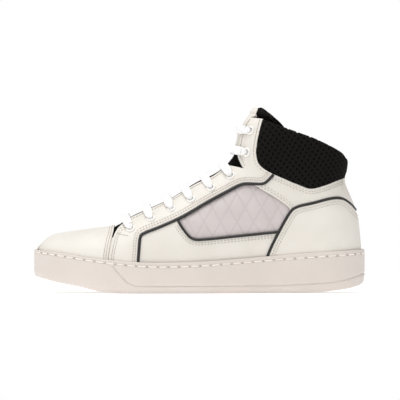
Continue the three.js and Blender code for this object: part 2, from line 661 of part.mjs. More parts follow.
function makeSidePanels(label, side) {
  const above = floorCut();
  const holes = eyeletHoles(side);
  const backingHoles = eyeletHoles(side, EYELET_HOLE + EYELET_WALL + GAP + BACKING_INSET);
  const half = halfOf(side);
  const cut = (points, top, thickness) => (
    layer(points, top, thickness, side).intersect(above).intersect(half));

  const facingInner = grown(facingOutline, -GAP / 2);
  const counterBlock = block(grown(counterOutline, PIPING + GAP));
  const bead = ribbon(grownLine(facingRear, -(PIPING / 2 + GAP / 2)), PIPING);
  add(`eyestay_${label}`, cut(facingInner, 0, LEATHER).subtract(holes), whiteLeather());
  add(`eyestay_piping_${label}`, cut(bead, 0, LEATHER), blackPiping());
  add(`eyestay_backing_${label}`, backing(cut).subtract(backingHoles), whiteTextile());

  const quarter = outline(run([[-57.5, 20], [-57, 44], [-55, 52.5], [-50, 57.3], [-36, 63.5], [-22, 70]], 9),
    quarterTop.filter((point) => point.x > place(-20, 0).x && point.x < place(84, 0).x),
    [place(92, 70), place(92, 20)]);
  const quarterClear = block(ribbon(quarterTop, PIPING + 2 * GAP), side);
  add(`quarter_${label}`, cut(quarter, UNDERLAY_TOP, UNDERLAY).subtract(quarterClear), whiteLeather());
  const quarterBead = cut(ribbon(quarterTop, PIPING), 0.6, LEATHER + 0.9)
    .subtract(block(grown(facingOutline, PIPING + GAP), side)).subtract(counterBlock);
  add(`quarter_piping_${label}`, largest(quarterBead), blackPiping());

  const windowEdge = outline(run([[-20, 69.3], [-8, 75.5], [6, 84], [24, 93.8], [37.5, 100.5],
    [46, 101.2]], 16),
    bandDiagonal.filter((point) => point.x > place(50, 0).x && point.y > place(0, 68).y),
    quarterTop.filter((point) => point.x > place(-20, 0).x && point.x < place(78, 0).x).reverse());
  const flange = cut(grown(windowEdge, SEAM_LAP), STIFFENER_TOP, STIFFENER);
  const pad = cut(grown(windowEdge, -(PIPING + 1)), LEATHER * 0.6, STIFFENER_TOP - LEATHER * 0.6 + 0.2);
  add(`side_window_${label}`, flange.add(pad), windowLeather());

  const band = outline(bandDiagonal, [place(100, 60), place(160, 60), place(160, 112)],
    [...collarLow].reverse(), [place(60, 108), place(52, 105)]);
  const bandLow = cut(grown(band, -GAP), UNDERLAY_TOP, UNDERLAY)
    .subtract(block(outline([place(136, 40), place(170, 40), place(170, 130), place(128, 130)]), side));
  add(`ankle_band_${label}`, bandLow.subtract(block(quarter, side)), whiteLeather());
}

function grownLine(line, margin) {
  return line.map((point, i) => {
    const before = line[Math.max(i - 1, 0)];
    const after = line[Math.min(i + 1, line.length - 1)];
    const along = new THREE.Vector2().subVectors(after, before).normalize();
    return point.clone().add(new THREE.Vector2(-along.y, along.x).multiplyScalar(-margin));
  });
}

// Of several loose bodies left by a cut, the largest.
function largest(solid) {
  return solid.decompose().sort((a, b) => b.volume() - a.volume())[0];
}

// A reinforcement under the eyelets that shows as a fine edge above the facing's top.
function backing(cut) {
  const rear = run([[56, 160], [52.5, 148], [50, 137], [49, 128], [47, 118], [38, 108], [26, 100],
    [6, 88.5], [-16, 77], [-36, 67], [-50, 59.5], [-58, 58]], 14);
  const front = grownLine(outline(facingTop, notchLow, notchHigh), BACKING_INSET);
  const strip = outline(front, rear);
  return largest(cut(strip, UNDERLAY_TOP, UNDERLAY));
}

function makeHeel() {
  const above = floorCut();
  const counter = grown(counterOutline, -GAP / 2);
  add('heel_counter', layer(counter, 0, LEATHER, 0).intersect(above), whiteLeather());
  const beadLine = grownLine(counterEdge, -(PIPING / 2 + GAP / 2));
  const bead = layer(ribbon(beadLine, PIPING), 0, LEATHER, 0).intersect(above);
  add('heel_counter_piping', bead, blackPiping());
  const strip = outline([place(128, 74), place(170, 74), place(170, 104), place(134, 104)]);
  const stay = layer(strip, 0, LEATHER, 0).subtract(block(grown(counterOutline, PIPING + GAP)))
    .subtract(block(grown(collarOutline, GAP)));
  add('backstay', largest(stay), whiteLeather());
  const stiff = outline([place(84, 22), place(90, 60), place(104, 74), place(126, 78), place(160, 78),
    place(160, 22)]);
  add('heel_stiffener', layer(stiff, STIFFENER_TOP, STIFFENER, 0).intersect(above), fibreBoard());
}

// ---------------------------------------------------------------- collar
// Inner face of the collar: the padding thickens from the facing towards the heel.
const padded = (x) => LINING_FACE + COLLAR_PAD * smooth(58 * STRETCH, 88 * STRETCH, x);
const insideCollar = (extra) => form((point) => padded(point.x) + extra);

function makeCollar() {
  const inner = insideCollar(0);
  const whole = formAt(0).subtract(inner).intersect(block(grown(collarOutline, -GAP / 2)));
  const hollow = formAt(COLLAR_MESH).intersect(block(grown(collarOutline, -COLLAR_MESH)));
  const openBelow = formAt(COLLAR_MESH).intersect(block(dropped(collarOutline, COLLAR_MESH)));
  const mesh = whole.subtract(hollow).subtract(openBelow);
  add('collar_mesh', largest(mesh), blackMesh());
  for (const [label, side] of SIDES) {
    const half = halfOf(side);
    const filling = formAt(COLLAR_MESH + GAP).subtract(insideCollar(-LINING - GAP));
    const foam = filling.intersect(block(grown(collarOutline, -COLLAR_MESH - GAP))).intersect(half);
    add(`collar_foam_${label}`, largest(foam), paleFoam());
  }
}

// An outline moved straight down by a margin.
function dropped(points, margin) {
  return grown(points, -margin).map((point) => point.clone().setY(point.y - margin));
}

// ---------------------------------------------------------------- lining
const liningEdge = run([[-61, 50], [-44, 59.5], [-25, 69], [-7, 77.5], [10, 87.5], [28, 98.5],
  [41, 107], [50, 119], [51.5, 130], [53, 140], [54.5, 150], [57, 158]], 14);

function makeLining() {
  const above = floorCut();
  const keepOff = block(grown(collarOutline, GAP));
  for (const [label, side] of SIDES) {
    const front = liningSeam.filter((point) => point.y < place(0, 48).y);
    const area = outline(grownLine(front, GAP), liningEdge, [place(85.4, 120), place(85.4, 20)]);
    const panel = layer(area, LINING_TOP, LINING, side).intersect(above).intersect(halfOf(side));
    add(`quarter_lining_${label}`, largest(panel.subtract(keepOff)), whiteTextile());
  }
  const heel = outline([place(86, 20), place(170, 20), place(170, 112), place(86, 112)]);
  const heelPanel = layer(heel, LINING_TOP, LINING, 0).intersect(above);
  add('heel_lining', largest(heelPanel.subtract(keepOff)), whiteTextile());
  const face = insideCollar(-LINING).subtract(insideCollar(0));
  const area = block(grown(collarOutline, -COLLAR_MESH - GAP));
  add('collar_lining', largest(face.intersect(area)), blackMesh());
}

// ---------------------------------------------------------------- tongue
// The tongue lies under the lace, comes forward above the facing and passes inside the collar.
function tongueDepth(point) {
  const inner = Math.max(TONGUE_DEPTH, padded(point.x) + 2 * GAP);
  const rise = smooth(156 * RISE, 166 * RISE, point.y) * (1 - smooth(47 * STRETCH, 57 * STRETCH, point.x));
  return lerp(inner, PATCH + GAP, rise);
}

const tongueWing = run([[-70, 44], [-52, 49], [-30, 60], [-8, 72], [14, 84], [34, 98], [50, 113],
  [61, 130], [70, 143], [79.5, 151]], 12);
const tongueTop = run([[79.5, 151], [72.5, 159.5], [63, 165.5], [56, 167.5], [47, 168]], 8);
const tongueOutline = outline(tongueWing, tongueTop, [place(20, 176), place(-90, 100), place(-71.5, 70)]);

function tongueLayer(from, thickness, area) {
  const outer = form((point) => tongueDepth(point) + from);
  const inner = form((point) => tongueDepth(point) + from + thickness);
  return largest(outer.subtract(inner).intersect(block(area)));
}

function makeTongue() {
  add('tongue_mesh', tongueLayer(0, TONGUE_MESH, tongueOutline), blackMesh());
  const inner = grown(tongueOutline, -1.5);
  add('tongue_foam', tongueLayer(TONGUE_MESH + GAP, TONGUE_FOAM, inner), paleFoam());
  add('tongue_lining', tongueLayer(TONGUE_MESH + TONGUE_FOAM + 2 * GAP, LINING, tongueOutline), blackMesh());
  const patch = outline([place(30, 154), place(40.5, 154.5), place(44.5, 161.8), place(56, 162.5),
    place(59, 170), place(54, 170.5), place(44, 171), place(30, 170)]);
  add('tongue_patch', tongueLayer(-PATCH - GAP, PATCH, patch), whiteLeather());
}

// ---------------------------------------------------------------- lace
const BAR_RISE = GAP + EYELET_FLANGE + 2 * GAP + LACE_THICKNESS / 2;
const UNDER_RUN = STIFFENER_TOP + LACE_ROOM + LACE_THICKNESS / 2;
const TURN = 1.9; // radius of the lace's bend at an eyelet

// Where a line from an eyelet reaches the ridge of the form at a depth.
function ridgeBeyond(hole, direction, depth) {
  let low = 0;
  let high = 30;
  for (let i = 0; i < 30; i += 1) {
    const middle = (low + high) / 2;
    const point = hole.clone().addScaledVector(direction, middle);
    const away = new THREE.Vector2(point.x - FAN.x, point.y - FAN.y);
    const ends = rayEnds(Math.atan2(away.y, away.x), () => depth, outerPolar0);
    if (away.length() > ends.near) low = middle;
    else high = middle;
  }
  return low;
}

// The lace is a list of stations: a point, the way its flat side faces across, and a width.
function station(point, wide, width) {
  return { point, wide, width };
}

// From an eyelet over the ridge to the eyelet opposite, outside the facings.
function barStations(row) {
  const from = eyeletPlaces[row];
  const direction = barDirections[row];
  const reach = ridgeBeyond(from, direction, -BAR_RISE);
  const wide = new THREE.Vector3(direction.y, 0, -direction.x);
  const rise = (side) => [0.4, 0.65, 0.85, 0.96].map((share) => (
    surfacePoint(from.clone().addScaledVector(direction, share * reach), -BAR_RISE, side)));
  const top = from.clone().addScaledVector(direction, reach - 0.02);
  const crown = new THREE.Vector3(top.x, centreLine(top.x), top.y);
  return [...rise(-1), crown, ...rise(1).reverse()].map((point) => station(point, wide, LACE_WIDTH));
}

// Under a facing, from an eyelet up to the next one on the same side.
function underStations(row, side) {
  const [from, to] = [eyeletPlaces[row], eyeletPlaces[row + 1]];
  const spots = [0.3, 0.5, 0.7].map((share) => from.clone().lerp(to, share));
  return laidFlat(spots, side, LACE_PINCH);
}

// Down an eyelet, from the bar outside to the run inside.
function holeStations(row, side) {
  const { spot, normal } = seat(eyeletPlaces[row], side);
  const bar = barDirections[row];
  const towards = new THREE.Vector3(bar.x, 0, bar.y);
  towards.addScaledVector(normal, -towards.dot(normal)).normalize();
  const wide = new THREE.Vector3(bar.y, 0, -bar.x);
  const at = (along, up) => spot.clone().addScaledVector(towards, along).addScaledVector(normal, up);
  return [
    station(at(TURN * 1.6, BAR_RISE + 0.1), wide, LACE_PINCH * 1.6),
    station(at(TURN * 0.5, BAR_RISE - TURN * 0.2), wide, LACE_PINCH),
    station(at(0, BAR_RISE - TURN), wide, LACE_PINCH),
    station(at(0, TURN * 0.9 - UNDER_RUN), wide, LACE_PINCH),
    station(at(TURN * 0.35, TURN * 0.2 - UNDER_RUN), wide, LACE_PINCH),
  ];
}

// A run that lies flat under a facing.
function laidFlat(spots, side, width) {
  const points = spots.map((spot) => surfacePoint(spot, UNDER_RUN, side));
  return points.map((point, i) => {
    const [before, after] = [points[Math.max(i - 1, 0)], points[Math.min(i + 1, points.length - 1)]];
    const along = new THREE.Vector3().subVectors(after, before);
    const wide = new THREE.Vector3().crossVectors(along, surfaceNormal(spots[i], UNDER_RUN, side));
    return station(point, wide.normalize(), width);
  });
}

// The ends are tucked in behind the lowest and the highest eyelet.
const lowEnd = [[-40, 65.8], [-47, 62.2], [-54, 58.6], [-59, 57]].map(([x, z]) => place(x, z));
const highEnd = [[49.2, 145], [49.8, 140], [49.6, 135], [49.2, 131]].map(([x, z]) => place(x, z));

function laceRoute() {
  const route = laidFlat(lowEnd, -1, LACE_PINCH * 1.2);
  let side = -1;
  for (let row = 0; row < eyeletPlaces.length; row += 1) {
    const bar = barStations(row);
    if (side > 0) bar.reverse();
    route.push(...holeStations(row, side).reverse(), ...bar, ...holeStations(row, -side));
    side = -side;
    if (row + 1 < eyeletPlaces.length) route.push(...underStations(row, side));
  }
  return [...route, ...laidFlat(highEnd, side, LACE_PINCH * 1.2)];
}

// A flat band swept through the stations, as one closed solid.
function makeLace() {
  const route = laceRoute();
  let facing = null;
  const rings = route.map(({ point, wide, width }, i) => {
    const before = route[Math.max(i - 1, 0)].point;
    const after = route[Math.min(i + 1, route.length - 1)].point;
    const along = new THREE.Vector3().subVectors(after, before).normalize();
    const across = wide.clone().addScaledVector(along, -wide.dot(along)).normalize();
    if (facing && facing.dot(across) < 0) across.negate();
    facing = across;
    const thick = new THREE.Vector3().crossVectors(along, across);
    const half = width / 2;
    const deep = LACE_THICKNESS / 2;
    const section = [[-half, 0], [-half * 0.8, -deep], [half * 0.8, -deep], [half, 0],
      [half * 0.8, deep], [-half * 0.8, deep]];
    return section.map(([a, b]) => point.clone().addScaledVector(across, a).addScaledVector(thick, b));
  });
  add('lace', toSolid(tubeThrough(rings)), laceCotton());
}

// Joins rings of points into one closed skin with flat ends.
function tubeThrough(rings) {
  const positions = [];
  const triangle = (a, b, c) => [a, b, c].forEach((corner) => positions.push(corner.x, corner.y, corner.z));
  const count = rings[0].length;
  for (let i = 1; i < rings.length; i += 1) {
    for (let k = 0; k < count; k += 1) {
      const m = (k + 1) % count;
      triangle(rings[i - 1][k], rings[i - 1][m], rings[i][m]);
      triangle(rings[i - 1][k], rings[i][m], rings[i][k]);
    }
  }
  const [first, last] = [rings[0], rings[rings.length - 1]];
  for (let k = 1; k + 1 < count; k += 1) {
    triangle(first[0], first[k + 1], first[k]);
    triangle(last[0], last[k], last[k + 1]);
  }
  const geometry = new THREE.BufferGeometry();
  geometry.setAttribute('position', new THREE.Float32BufferAttribute(positions, 3));
  return geometry;
}

makeSole();
makeFootFloor();
makeToe();
for (const [label, side] of SIDES) makeSidePanels(label, side);
makeHeel();
makeCollar();
makeLining();
makeTongue();
for (const [label, side] of SIDES) {
  eyeletPlaces.forEach((hole, row) => {
    add(`eyelet_${label}_${row + 1}`, eyeletSolid(hole, side), whiteEnamel());
  });
}
makeLace();

export default group;
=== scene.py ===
"""High-top trainer: leather upper on a rubber cupsole, with a padded mesh collar and tongue.

Side-view drawings and depths are in millimetres (x along the shoe, z up); meshes are made in metres.
"""

import math

import bmesh
import bpy
import numpy as np
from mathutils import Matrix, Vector
from mathutils.geometry import delaunay_2d_cdt


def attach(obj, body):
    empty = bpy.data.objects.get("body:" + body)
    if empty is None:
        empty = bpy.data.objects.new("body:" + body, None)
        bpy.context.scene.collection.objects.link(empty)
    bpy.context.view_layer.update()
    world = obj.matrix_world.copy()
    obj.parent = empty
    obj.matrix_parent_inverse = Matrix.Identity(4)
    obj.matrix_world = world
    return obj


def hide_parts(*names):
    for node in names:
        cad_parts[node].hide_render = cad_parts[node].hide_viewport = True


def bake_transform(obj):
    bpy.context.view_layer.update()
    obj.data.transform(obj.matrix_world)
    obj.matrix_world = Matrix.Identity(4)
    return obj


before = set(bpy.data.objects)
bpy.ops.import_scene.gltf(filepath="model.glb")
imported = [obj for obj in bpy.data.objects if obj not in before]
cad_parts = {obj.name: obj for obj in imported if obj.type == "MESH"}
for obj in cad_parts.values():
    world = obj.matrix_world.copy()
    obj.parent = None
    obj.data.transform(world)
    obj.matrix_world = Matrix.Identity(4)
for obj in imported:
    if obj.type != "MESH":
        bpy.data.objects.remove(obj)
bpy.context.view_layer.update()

# ---- Cupsole ---------------------------------------------------------------------------------
# One pressed rubber shell: a flat tread that curls up at the toe, a bumper round the toe, and a
# sidewall whose lip hides the lower edge of the upper. A groove under the lip takes the stitching.
MM = 0.001
SHOE_LENGTH = 304
TOE_END = -SHOE_LENGTH / 2
HEEL_END = SHOE_LENGTH / 2
BALL_HALF_WIDTH = 53
HEEL_HALF_WIDTH = 38
TOE_ROUND = 74
HEEL_ROUND = 38
TOE_SWING = 8
WAIST_SWING = -2
TOE_POWER = 2.3
HEEL_POWER = 2.2
LIP_WALL = 2.2
GROOVE_HALF = 0.9
GROOVE_DEPTH = 1.3
PARTING_DEPTH = 0.9
SOLE_STATIONS = 600


def smooth(low, high, value):
    share = np.clip((value - low) / (high - low), 0, 1)
    return share * share * (3 - 2 * share)


def curve(pairs, divisions=60):
    """A smooth line through side-view points."""
    corners = np.array(pairs, float)
    count = len(corners) - 1
    steps = np.linspace(0, count, divisions + 1)
    start = np.minimum(steps.astype(int), count - 1)
    part = (steps - start)[:, None]
    before = corners[np.maximum(start - 1, 0)]
    here = corners[start]
    after = corners[start + 1]
    beyond = corners[np.minimum(start + 2, count)]
    pull = (after - before) / 2
    push = (beyond - here) / 2
    return (
        (2 * here - 2 * after + pull + push) * part**3
        + (3 * after - 3 * here - 2 * pull - push) * part**2
        + pull * part
        + here
    )


def height_on(line, x):
    return np.interp(x, line[:, 0], line[:, 1])


def footprint_half(x, inset, heel_half=HEEL_HALF_WIDTH, heel_end=HEEL_END):
    from_toe = np.clip(x - (TOE_END + inset), 0, TOE_ROUND - inset) / (TOE_ROUND - inset)
    from_heel = np.clip(heel_end - inset - x, 0, HEEL_ROUND - inset) / (HEEL_ROUND - inset)
    toe_shape = (1 - (1 - from_toe) ** TOE_POWER) ** (1 / TOE_POWER)
    heel_shape = (1 - (1 - from_heel) ** HEEL_POWER) ** (1 / HEEL_POWER)
    waist = smooth(-70, 78, x)
    full = BALL_HALF_WIDTH + (heel_half - BALL_HALF_WIDTH) * waist - inset
    return full * toe_shape * heel_shape


def centre_line(x):
    toe = TOE_SWING * (1 - smooth(-140, -45, x))
    return toe + WAIST_SWING * smooth(-75, -10, x) * (1 - smooth(20, 90, x))


lip_line = curve([(-152, 39.5), (-128, 36.8), (-100, 32.5), (-72, 29.5), (-40, 28), (0, 29),
                  (47, 32.3), (92, 36.3), (130, 38.6), (152, 40)])
groove_line = curve([(-152, 37.6), (-128, 34.2), (-100, 29.8), (-72, 26.3), (-40, 24.2), (0, 25),
                     (47, 28.5), (92, 32), (130, 34.6), (152, 36.5)])
ground_line = np.vstack([
    curve([(-152, 14.5), (-143, 12.4), (-128, 9), (-110, 5.6), (-95, 2.2), (-80, 0.7), (-64, 0)]),
    curve([(84, 0), (110, 0.9), (135, 3.5), (148, 6.5), (152, 9)]),
])
parting_line = curve([(-82, 28), (-79, 25.5), (-75, 20), (-68, 12.5), (-61, 8), (-45, 6.6), (47, 7),
                      (92, 8), (120, 10.2), (138, 13.6), (156, 20)], 120)


class Wire:
    """A number inside a finish. Sums on it add Math nodes."""

    def __init__(self, finish, socket):
        self.finish = finish
        self.socket = socket

    def reckon(self, operation, *terms):
        return self.finish.node("ShaderNodeMath", {"operation": operation}, dict(enumerate(terms)))

    def __add__(self, other):
        return self.reckon("ADD", self, other)

    def __sub__(self, other):
        return self.reckon("SUBTRACT", self, other)

    def __rsub__(self, other):
        return self.reckon("SUBTRACT", other, self)

    def __mul__(self, other):
        return self.reckon("MULTIPLY", self, other)

    def cosine(self):
        return self.reckon("COSINE", self)

    def between(self, low, high):
        """0 below low, 1 above high, smooth in between."""
        settings = {"interpolation_type": "SMOOTHSTEP"}
        return self.finish.node("ShaderNodeMapRange", settings, {0: self, 1: low, 2: high})

    __radd__ = __add__
    __rmul__ = __mul__


class Finish:
    """A material: nodes are added by type, and the shader's sockets take numbers, colours or wires."""

    def __init__(self, name, roughness, **constants):
        self.material = bpy.data.materials.new(name)
        self.material.use_nodes = True
        self.tree = self.material.node_tree
        self.shader = self.tree.nodes["Principled BSDF"]
        self.shader.inputs["Roughness"].default_value = roughness
        for socket, value in constants.items():
            self.shader.inputs[socket.replace("_", " ")].default_value = value
        place = self.node("ShaderNodeTexCoord", {}, {}, "Object")
        self.place = self.node("ShaderNodeVectorMath", {"operation": "SCALE"}, {0: place, "Scale": 1000})

    def node(self, kind, settings, inputs, output=0):
        made = self.tree.nodes.new(kind)
        for key, value in settings.items():
            setattr(made, key, value)
        for key, value in inputs.items():
            if isinstance(value, Wire):
                self.tree.links.new(value.socket, made.inputs[key])
            else:
                made.inputs[key].default_value = value
        return Wire(self, made.outputs[output])

    def noise(self, size, detail=3, place=None):
        """Cloudy noise from 0 to 1 with features of a size in millimetres."""
        inputs = {"Vector": place or self.place, "Scale": 1 / size, "Detail": detail}
        return self.node("ShaderNodeTexNoise", {}, inputs)

    def cells(self, size, feature="F1"):
        inputs = {"Vector": self.place, "Scale": 1 / size}
        return self.node("ShaderNodeTexVoronoi", {"feature": feature}, inputs)

    def axes(self, vector=None):
        """The three parts of a place, in millimetres."""
        split = self.node("ShaderNodeSeparateXYZ", {}, {0: vector or self.place}).socket.node
        return [Wire(self, output) for output in split.outputs]

    def mixed(self, share, first, second):
        return self.node("ShaderNodeMix", {"data_type": "RGBA"}, {0: share, 6: first, 7: second}, 2)

    def wear(self, socket, value):
        self.tree.links.new(value.socket, self.shader.inputs[socket])

    def relief(self, height, depth, before=None):
        """Bumps from a height wire, with their depth in millimetres."""
        inputs = {"Height": height, "Distance": depth * MM, "Strength": 1.0}
        if before:
            inputs["Normal"] = before
        return self.node("ShaderNodeBump", {}, inputs)


def colour(red, green, blue):
    return (red, green, blue, 1)


def rubber():
    finish = Finish("sole_rubber", 0.6)
    clouds = finish.noise(38, 2)
    specks = finish.noise(1.3, 3)
    warm = finish.mixed(clouds.between(0.3, 0.75), colour(0.685, 0.62, 0.575), colour(0.65, 0.59, 0.54))
    # Speckles darker towards the bottom of the sole, below a height of 5 mm.
    height = finish.axes()[2]
    darker_near_ground = finish.mixed(height.between(5, -1) * specks, warm, colour(0.50, 0.45, 0.41))
    finish.wear("Base Color", darker_near_ground)
    finish.wear("Roughness", 0.5 + 0.2 * specks)
    finish.wear("Normal", finish.relief(finish.noise(0.5, 4), 0.05))
    return finish.material


def new_piece(name, points, faces, material, slot, body="shoe", stands_for=(), sharp=None, places=None):
    """A mesh from points in millimetres, smooth shaded, riding on a body."""
    mesh = bpy.data.meshes.new(name)
    corners = (np.asarray(points, float) * MM).tolist()
    mesh.from_pydata(corners, [], [list(map(int, face)) for face in faces])
    if places is not None:
        layer = mesh.attributes.new("cloth_place", "FLOAT_VECTOR", "POINT")
        layer.data.foreach_set("vector", np.asarray(places, np.float32).ravel())
    mesh.validate()
    mesh.shade_smooth()
    if sharp:
        mesh.set_sharp_from_angle(angle=math.radians(sharp))
    piece = bpy.data.objects.new(name, mesh)
    bpy.context.scene.collection.objects.link(piece)
    mesh.materials.append(material)
    if body:
        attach(piece, body)
    if stands_for:
        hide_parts(*stands_for)
    return piece


def grid_faces(rows, columns, around=False):
    """Quads over a grid of points; around joins the last column to the first."""
    faces = []
    for i in range(rows - 1):
        for j in range(columns if around else columns - 1):
            right = (j + 1) % columns
            low, high = i * columns, (i + 1) * columns
            faces.append((low + j, low + right, high + right, high + j))
    return faces


def away_from(line, x, z):
    """Distance in the side view from points to a line."""
    best = np.full(np.shape(x), 1e9)
    for (ax, az), (bx, bz) in zip(line[:-1], line[1:]):
        run = max((bx - ax) ** 2 + (bz - az) ** 2, 1e-9)
        share = np.clip(((x - ax) * (bx - ax) + (z - az) * (bz - az)) / run, 0, 1)
        best = np.minimum(best, np.hypot(x - ax - share * (bx - ax), z - az - share * (bz - az)))
    return best


def ring_round(inset_at, height_at):
    """One closed ring of points round the footprint."""
    turn = np.arange(SOLE_STATIONS) * 2 * math.pi / SOLE_STATIONS
    side = np.where(turn < math.pi, -1.0, 1.0)
    x = -np.cos(turn) * SHOE_LENGTH / 2
    z = height_at(x)
    inset = inset_at(x, z)
    x = -np.cos(turn) * (SHOE_LENGTH / 2 - inset)
    y = centre_line(x) + side * footprint_half(x, inset)
    return np.column_stack([x, y, z])


def wall_inset(base):
    """The sidewall's inset, deepened along the parting line of the bumper."""
    return lambda x, z: base + PARTING_DEPTH * (1 - smooth(0.25, 0.9, away_from(parting_line, x, z)))


sole_rows = []


def sole_row(height_at, inset_at):
    sole_rows.append(ring_round(inset_at, height_at))


def plain(inset):
    return lambda x, z: inset + 0 * x


def over(line, rise):
    """A height that stays a fixed way above or below a line of heights."""
    return lambda x: line(x) + rise


def between(low, high, share):
    return lambda x: low(x) + (high(x) - low(x)) * share


def ground(x):
    return height_on(ground_line, x)


def groove(x):
    return height_on(groove_line, x)


def lip(x):
    return height_on(lip_line, x)


TREAD_PITCH = 7.5
TREAD_DEPTH = 1.1


def tread(x, y):
    """Wavy ribs across the tread, as a height above its lowest points."""
    wave = np.sin(2 * math.pi * (x + 4 * np.sin(y / 5.5)) / TREAD_PITCH)
    return TREAD_DEPTH * smooth(0.25, 0.55, wave)


SOLE_CORE = BALL_HALF_WIDTH - 14  # inset of the innermost ring
WALL_START = 1.6
CUP_FLOOR = -8.5
BOTTOM_EDGE = [(7.5, 0), (5, 0), (3.4, 0), (2.2, 0.25), (1.4, 0.8), (0.9, WALL_START)]
GROOVE_SECTION = [(-GROOVE_HALF, 0.2), (-0.7, 0.7), (-0.45, GROOVE_DEPTH), (0.45, GROOVE_DEPTH), (0.7, 0.7),
                  (GROOVE_HALF, 0.25)]
LIP_SECTION = [(0.2, 0.2), (0.5, 0.25), (0.75, 0.45), (0.92, 0.85), (1, 1.35)]
CUP_INSIDE = [(-0.05, 1.75), (-0.4, 2.0), (-3, LIP_WALL - 0.1), (-7.5, LIP_WALL - 0.1), (CUP_FLOOR, 8),
              (CUP_FLOOR, SOLE_CORE)]
for inset in np.linspace(SOLE_CORE, 9, 24):
    sole_row(ground, plain(inset))
    ring = sole_rows[-1]
    ring[:, 2] += tread(ring[:, 0], ring[:, 1])
for inset, rise in BOTTOM_EDGE:
    sole_row(over(ground, rise), plain(inset))
for share in np.linspace(0.1, 1, 30):
    bow = 0.15 + 0.7 * (1 - smooth(0, 0.25, share))
    sole_row(between(over(ground, WALL_START), over(groove, -1.5), share), wall_inset(bow))
for rise, inset in GROOVE_SECTION:
    sole_row(over(groove, rise), plain(inset))
for share, inset in LIP_SECTION:
    sole_row(between(over(groove, GROOVE_HALF), lip, share), plain(inset))
for rise, inset in CUP_INSIDE:
    sole_row(over(lip, rise), plain(inset))

sole_points = np.vstack(sole_rows)
sole_faces = grid_faces(len(sole_rows), SOLE_STATIONS, around=True)
half_turn = SOLE_STATIONS // 2
for start, turned in [(0, False), ((len(sole_rows) - 1) * SOLE_STATIONS, True)]:
    for i in range(half_turn):
        a, b = start + i, start + i + 1
        c, d = start + (SOLE_STATIONS - i - 1) % SOLE_STATIONS, start + (SOLE_STATIONS - i) % SOLE_STATIONS
        loop = list(dict.fromkeys([a, b, c, d]))
        if len(loop) > 2:
            sole_faces.append(loop if turned else loop[::-1])
new_piece("cupsole", sole_points, [face[::-1] for face in sole_faces], rubber(), "rubber_sole",
          stands_for=("outsole", "cup_sidewall"), sharp=55)

# ---- Sole stitching --------------------------------------------------------------------------
# Waxed white thread that sews the cup to the upper: long stitches lie in the groove under the
# lip, and between two of them the thread dives into its hole.
SOLE_STITCH = 9.7
SOLE_STITCH_GAP = 2.1
SOLE_THREAD = 0.84
THREAD_SUNK = 0.75
STITCH_STEP = 0.97


def waxed_thread():
    finish = Finish("waxed_thread", 0.6)
    along = finish.axes()[0]
    twist = finish.noise(1.2, 2) + (along * 4.5).cosine() * 0.25
    finish.wear("Base Color", finish.mixed(twist, colour(0.80, 0.74, 0.68), colour(0.86, 0.82, 0.77)))
    finish.wear("Normal", finish.relief(twist, 0.08))
    return finish.material


def tube(path, radii, sides=8):
    """Points and faces of a closed tube along a path."""
    path = np.asarray(path, float)
    radii = np.broadcast_to(radii, len(path))
    along = np.gradient(path, axis=0)
    along /= np.linalg.norm(along, axis=1)[:, None]
    reference = np.tile([0.0, 0.0, 1.0], (len(path), 1))
    reference[np.abs(along[:, 2]) > 0.9] = [0.0, 1.0, 0.0]
    across = reference - (reference * along).sum(1)[:, None] * along
    across /= np.linalg.norm(across, axis=1)[:, None]
    up = np.cross(along, across)
    turn = np.arange(sides) * 2 * math.pi / sides
    ring = across[:, None] * np.cos(turn)[:, None] + up[:, None] * np.sin(turn)[:, None]
    points = (path[:, None] + ring * radii[:, None, None]).reshape(-1, 3)
    faces = grid_faces(len(path), sides, around=True)
    last = (len(path) - 1) * sides
    faces.append(list(range(sides))[::-1])
    faces.append([last + k for k in range(sides)])
    return points, faces


class Gathered:
    """Several closed bodies that go into one mesh."""

    def __init__(self):
        self.points = []
        self.faces = []
        self.count = 0

    def add(self, body):
        points, faces = body
        self.faces += [[self.count + index for index in face] for face in faces]
        self.points.append(points)
        self.count += len(points)

    def all(self):
        return np.vstack(self.points), self.faces


def spaced(line, step):
    """A line's points again, evenly spaced."""
    line = np.asarray(line, float)
    steps = np.r_[0, np.cumsum(np.linalg.norm(np.diff(line, axis=0), axis=1))]
    count = max(int(round(steps[-1] / step)), 1)
    marks = np.linspace(0, steps[-1], count + 1)
    return np.column_stack([np.interp(marks, steps, line[:, k]) for k in range(line.shape[1])])


groove_ring = ring_round(plain(THREAD_SUNK), groove)
groove_ring = spaced(np.vstack([groove_ring, groove_ring[:1]]), STITCH_STEP)
per_stitch = round(SOLE_STITCH / STITCH_STEP)
per_gap = round(SOLE_STITCH_GAP / STITCH_STEP)
sole_stitches = Gathered()
for start in range(0, len(groove_ring) - per_stitch, per_stitch):
    part = groove_ring[start : start + per_stitch - per_gap + 1]
    rounded = SOLE_THREAD * np.array([0.55, *[1.0] * (len(part) - 2), 0.55])
    sole_stitches.add(tube(part, rounded))
new_piece("sole_stitching", *sole_stitches.all(), waxed_thread(), "thread_white",
          stands_for=("sole_stitch_thread",))

# ---- Foam and boards inside ------------------------------------------------------------------
# The moulded foam core of the cup, the fibre board the upper is lasted on, the stiff toe puff
# and the heel stiffener. They are closed in, so their plain bodies stay and get their finishes.


def foam(name, tint):
    finish = Finish(name, 0.9)
    cells = finish.cells(1.1)
    finish.wear("Base Color", finish.mixed(cells, colour(*tint), colour(*[part * 0.8 for part in tint])))
    finish.wear("Normal", finish.relief(cells, 0.15))
    return finish.material


def fibre_board():
    finish = Finish("fibre_board", 0.9)
    fibres = finish.noise(0.9, 5)
    finish.wear("Base Color", finish.mixed(fibres, colour(0.42, 0.33, 0.22), colour(0.55, 0.46, 0.33)))
    finish.wear("Normal", finish.relief(fibres, 0.1))
    return finish.material


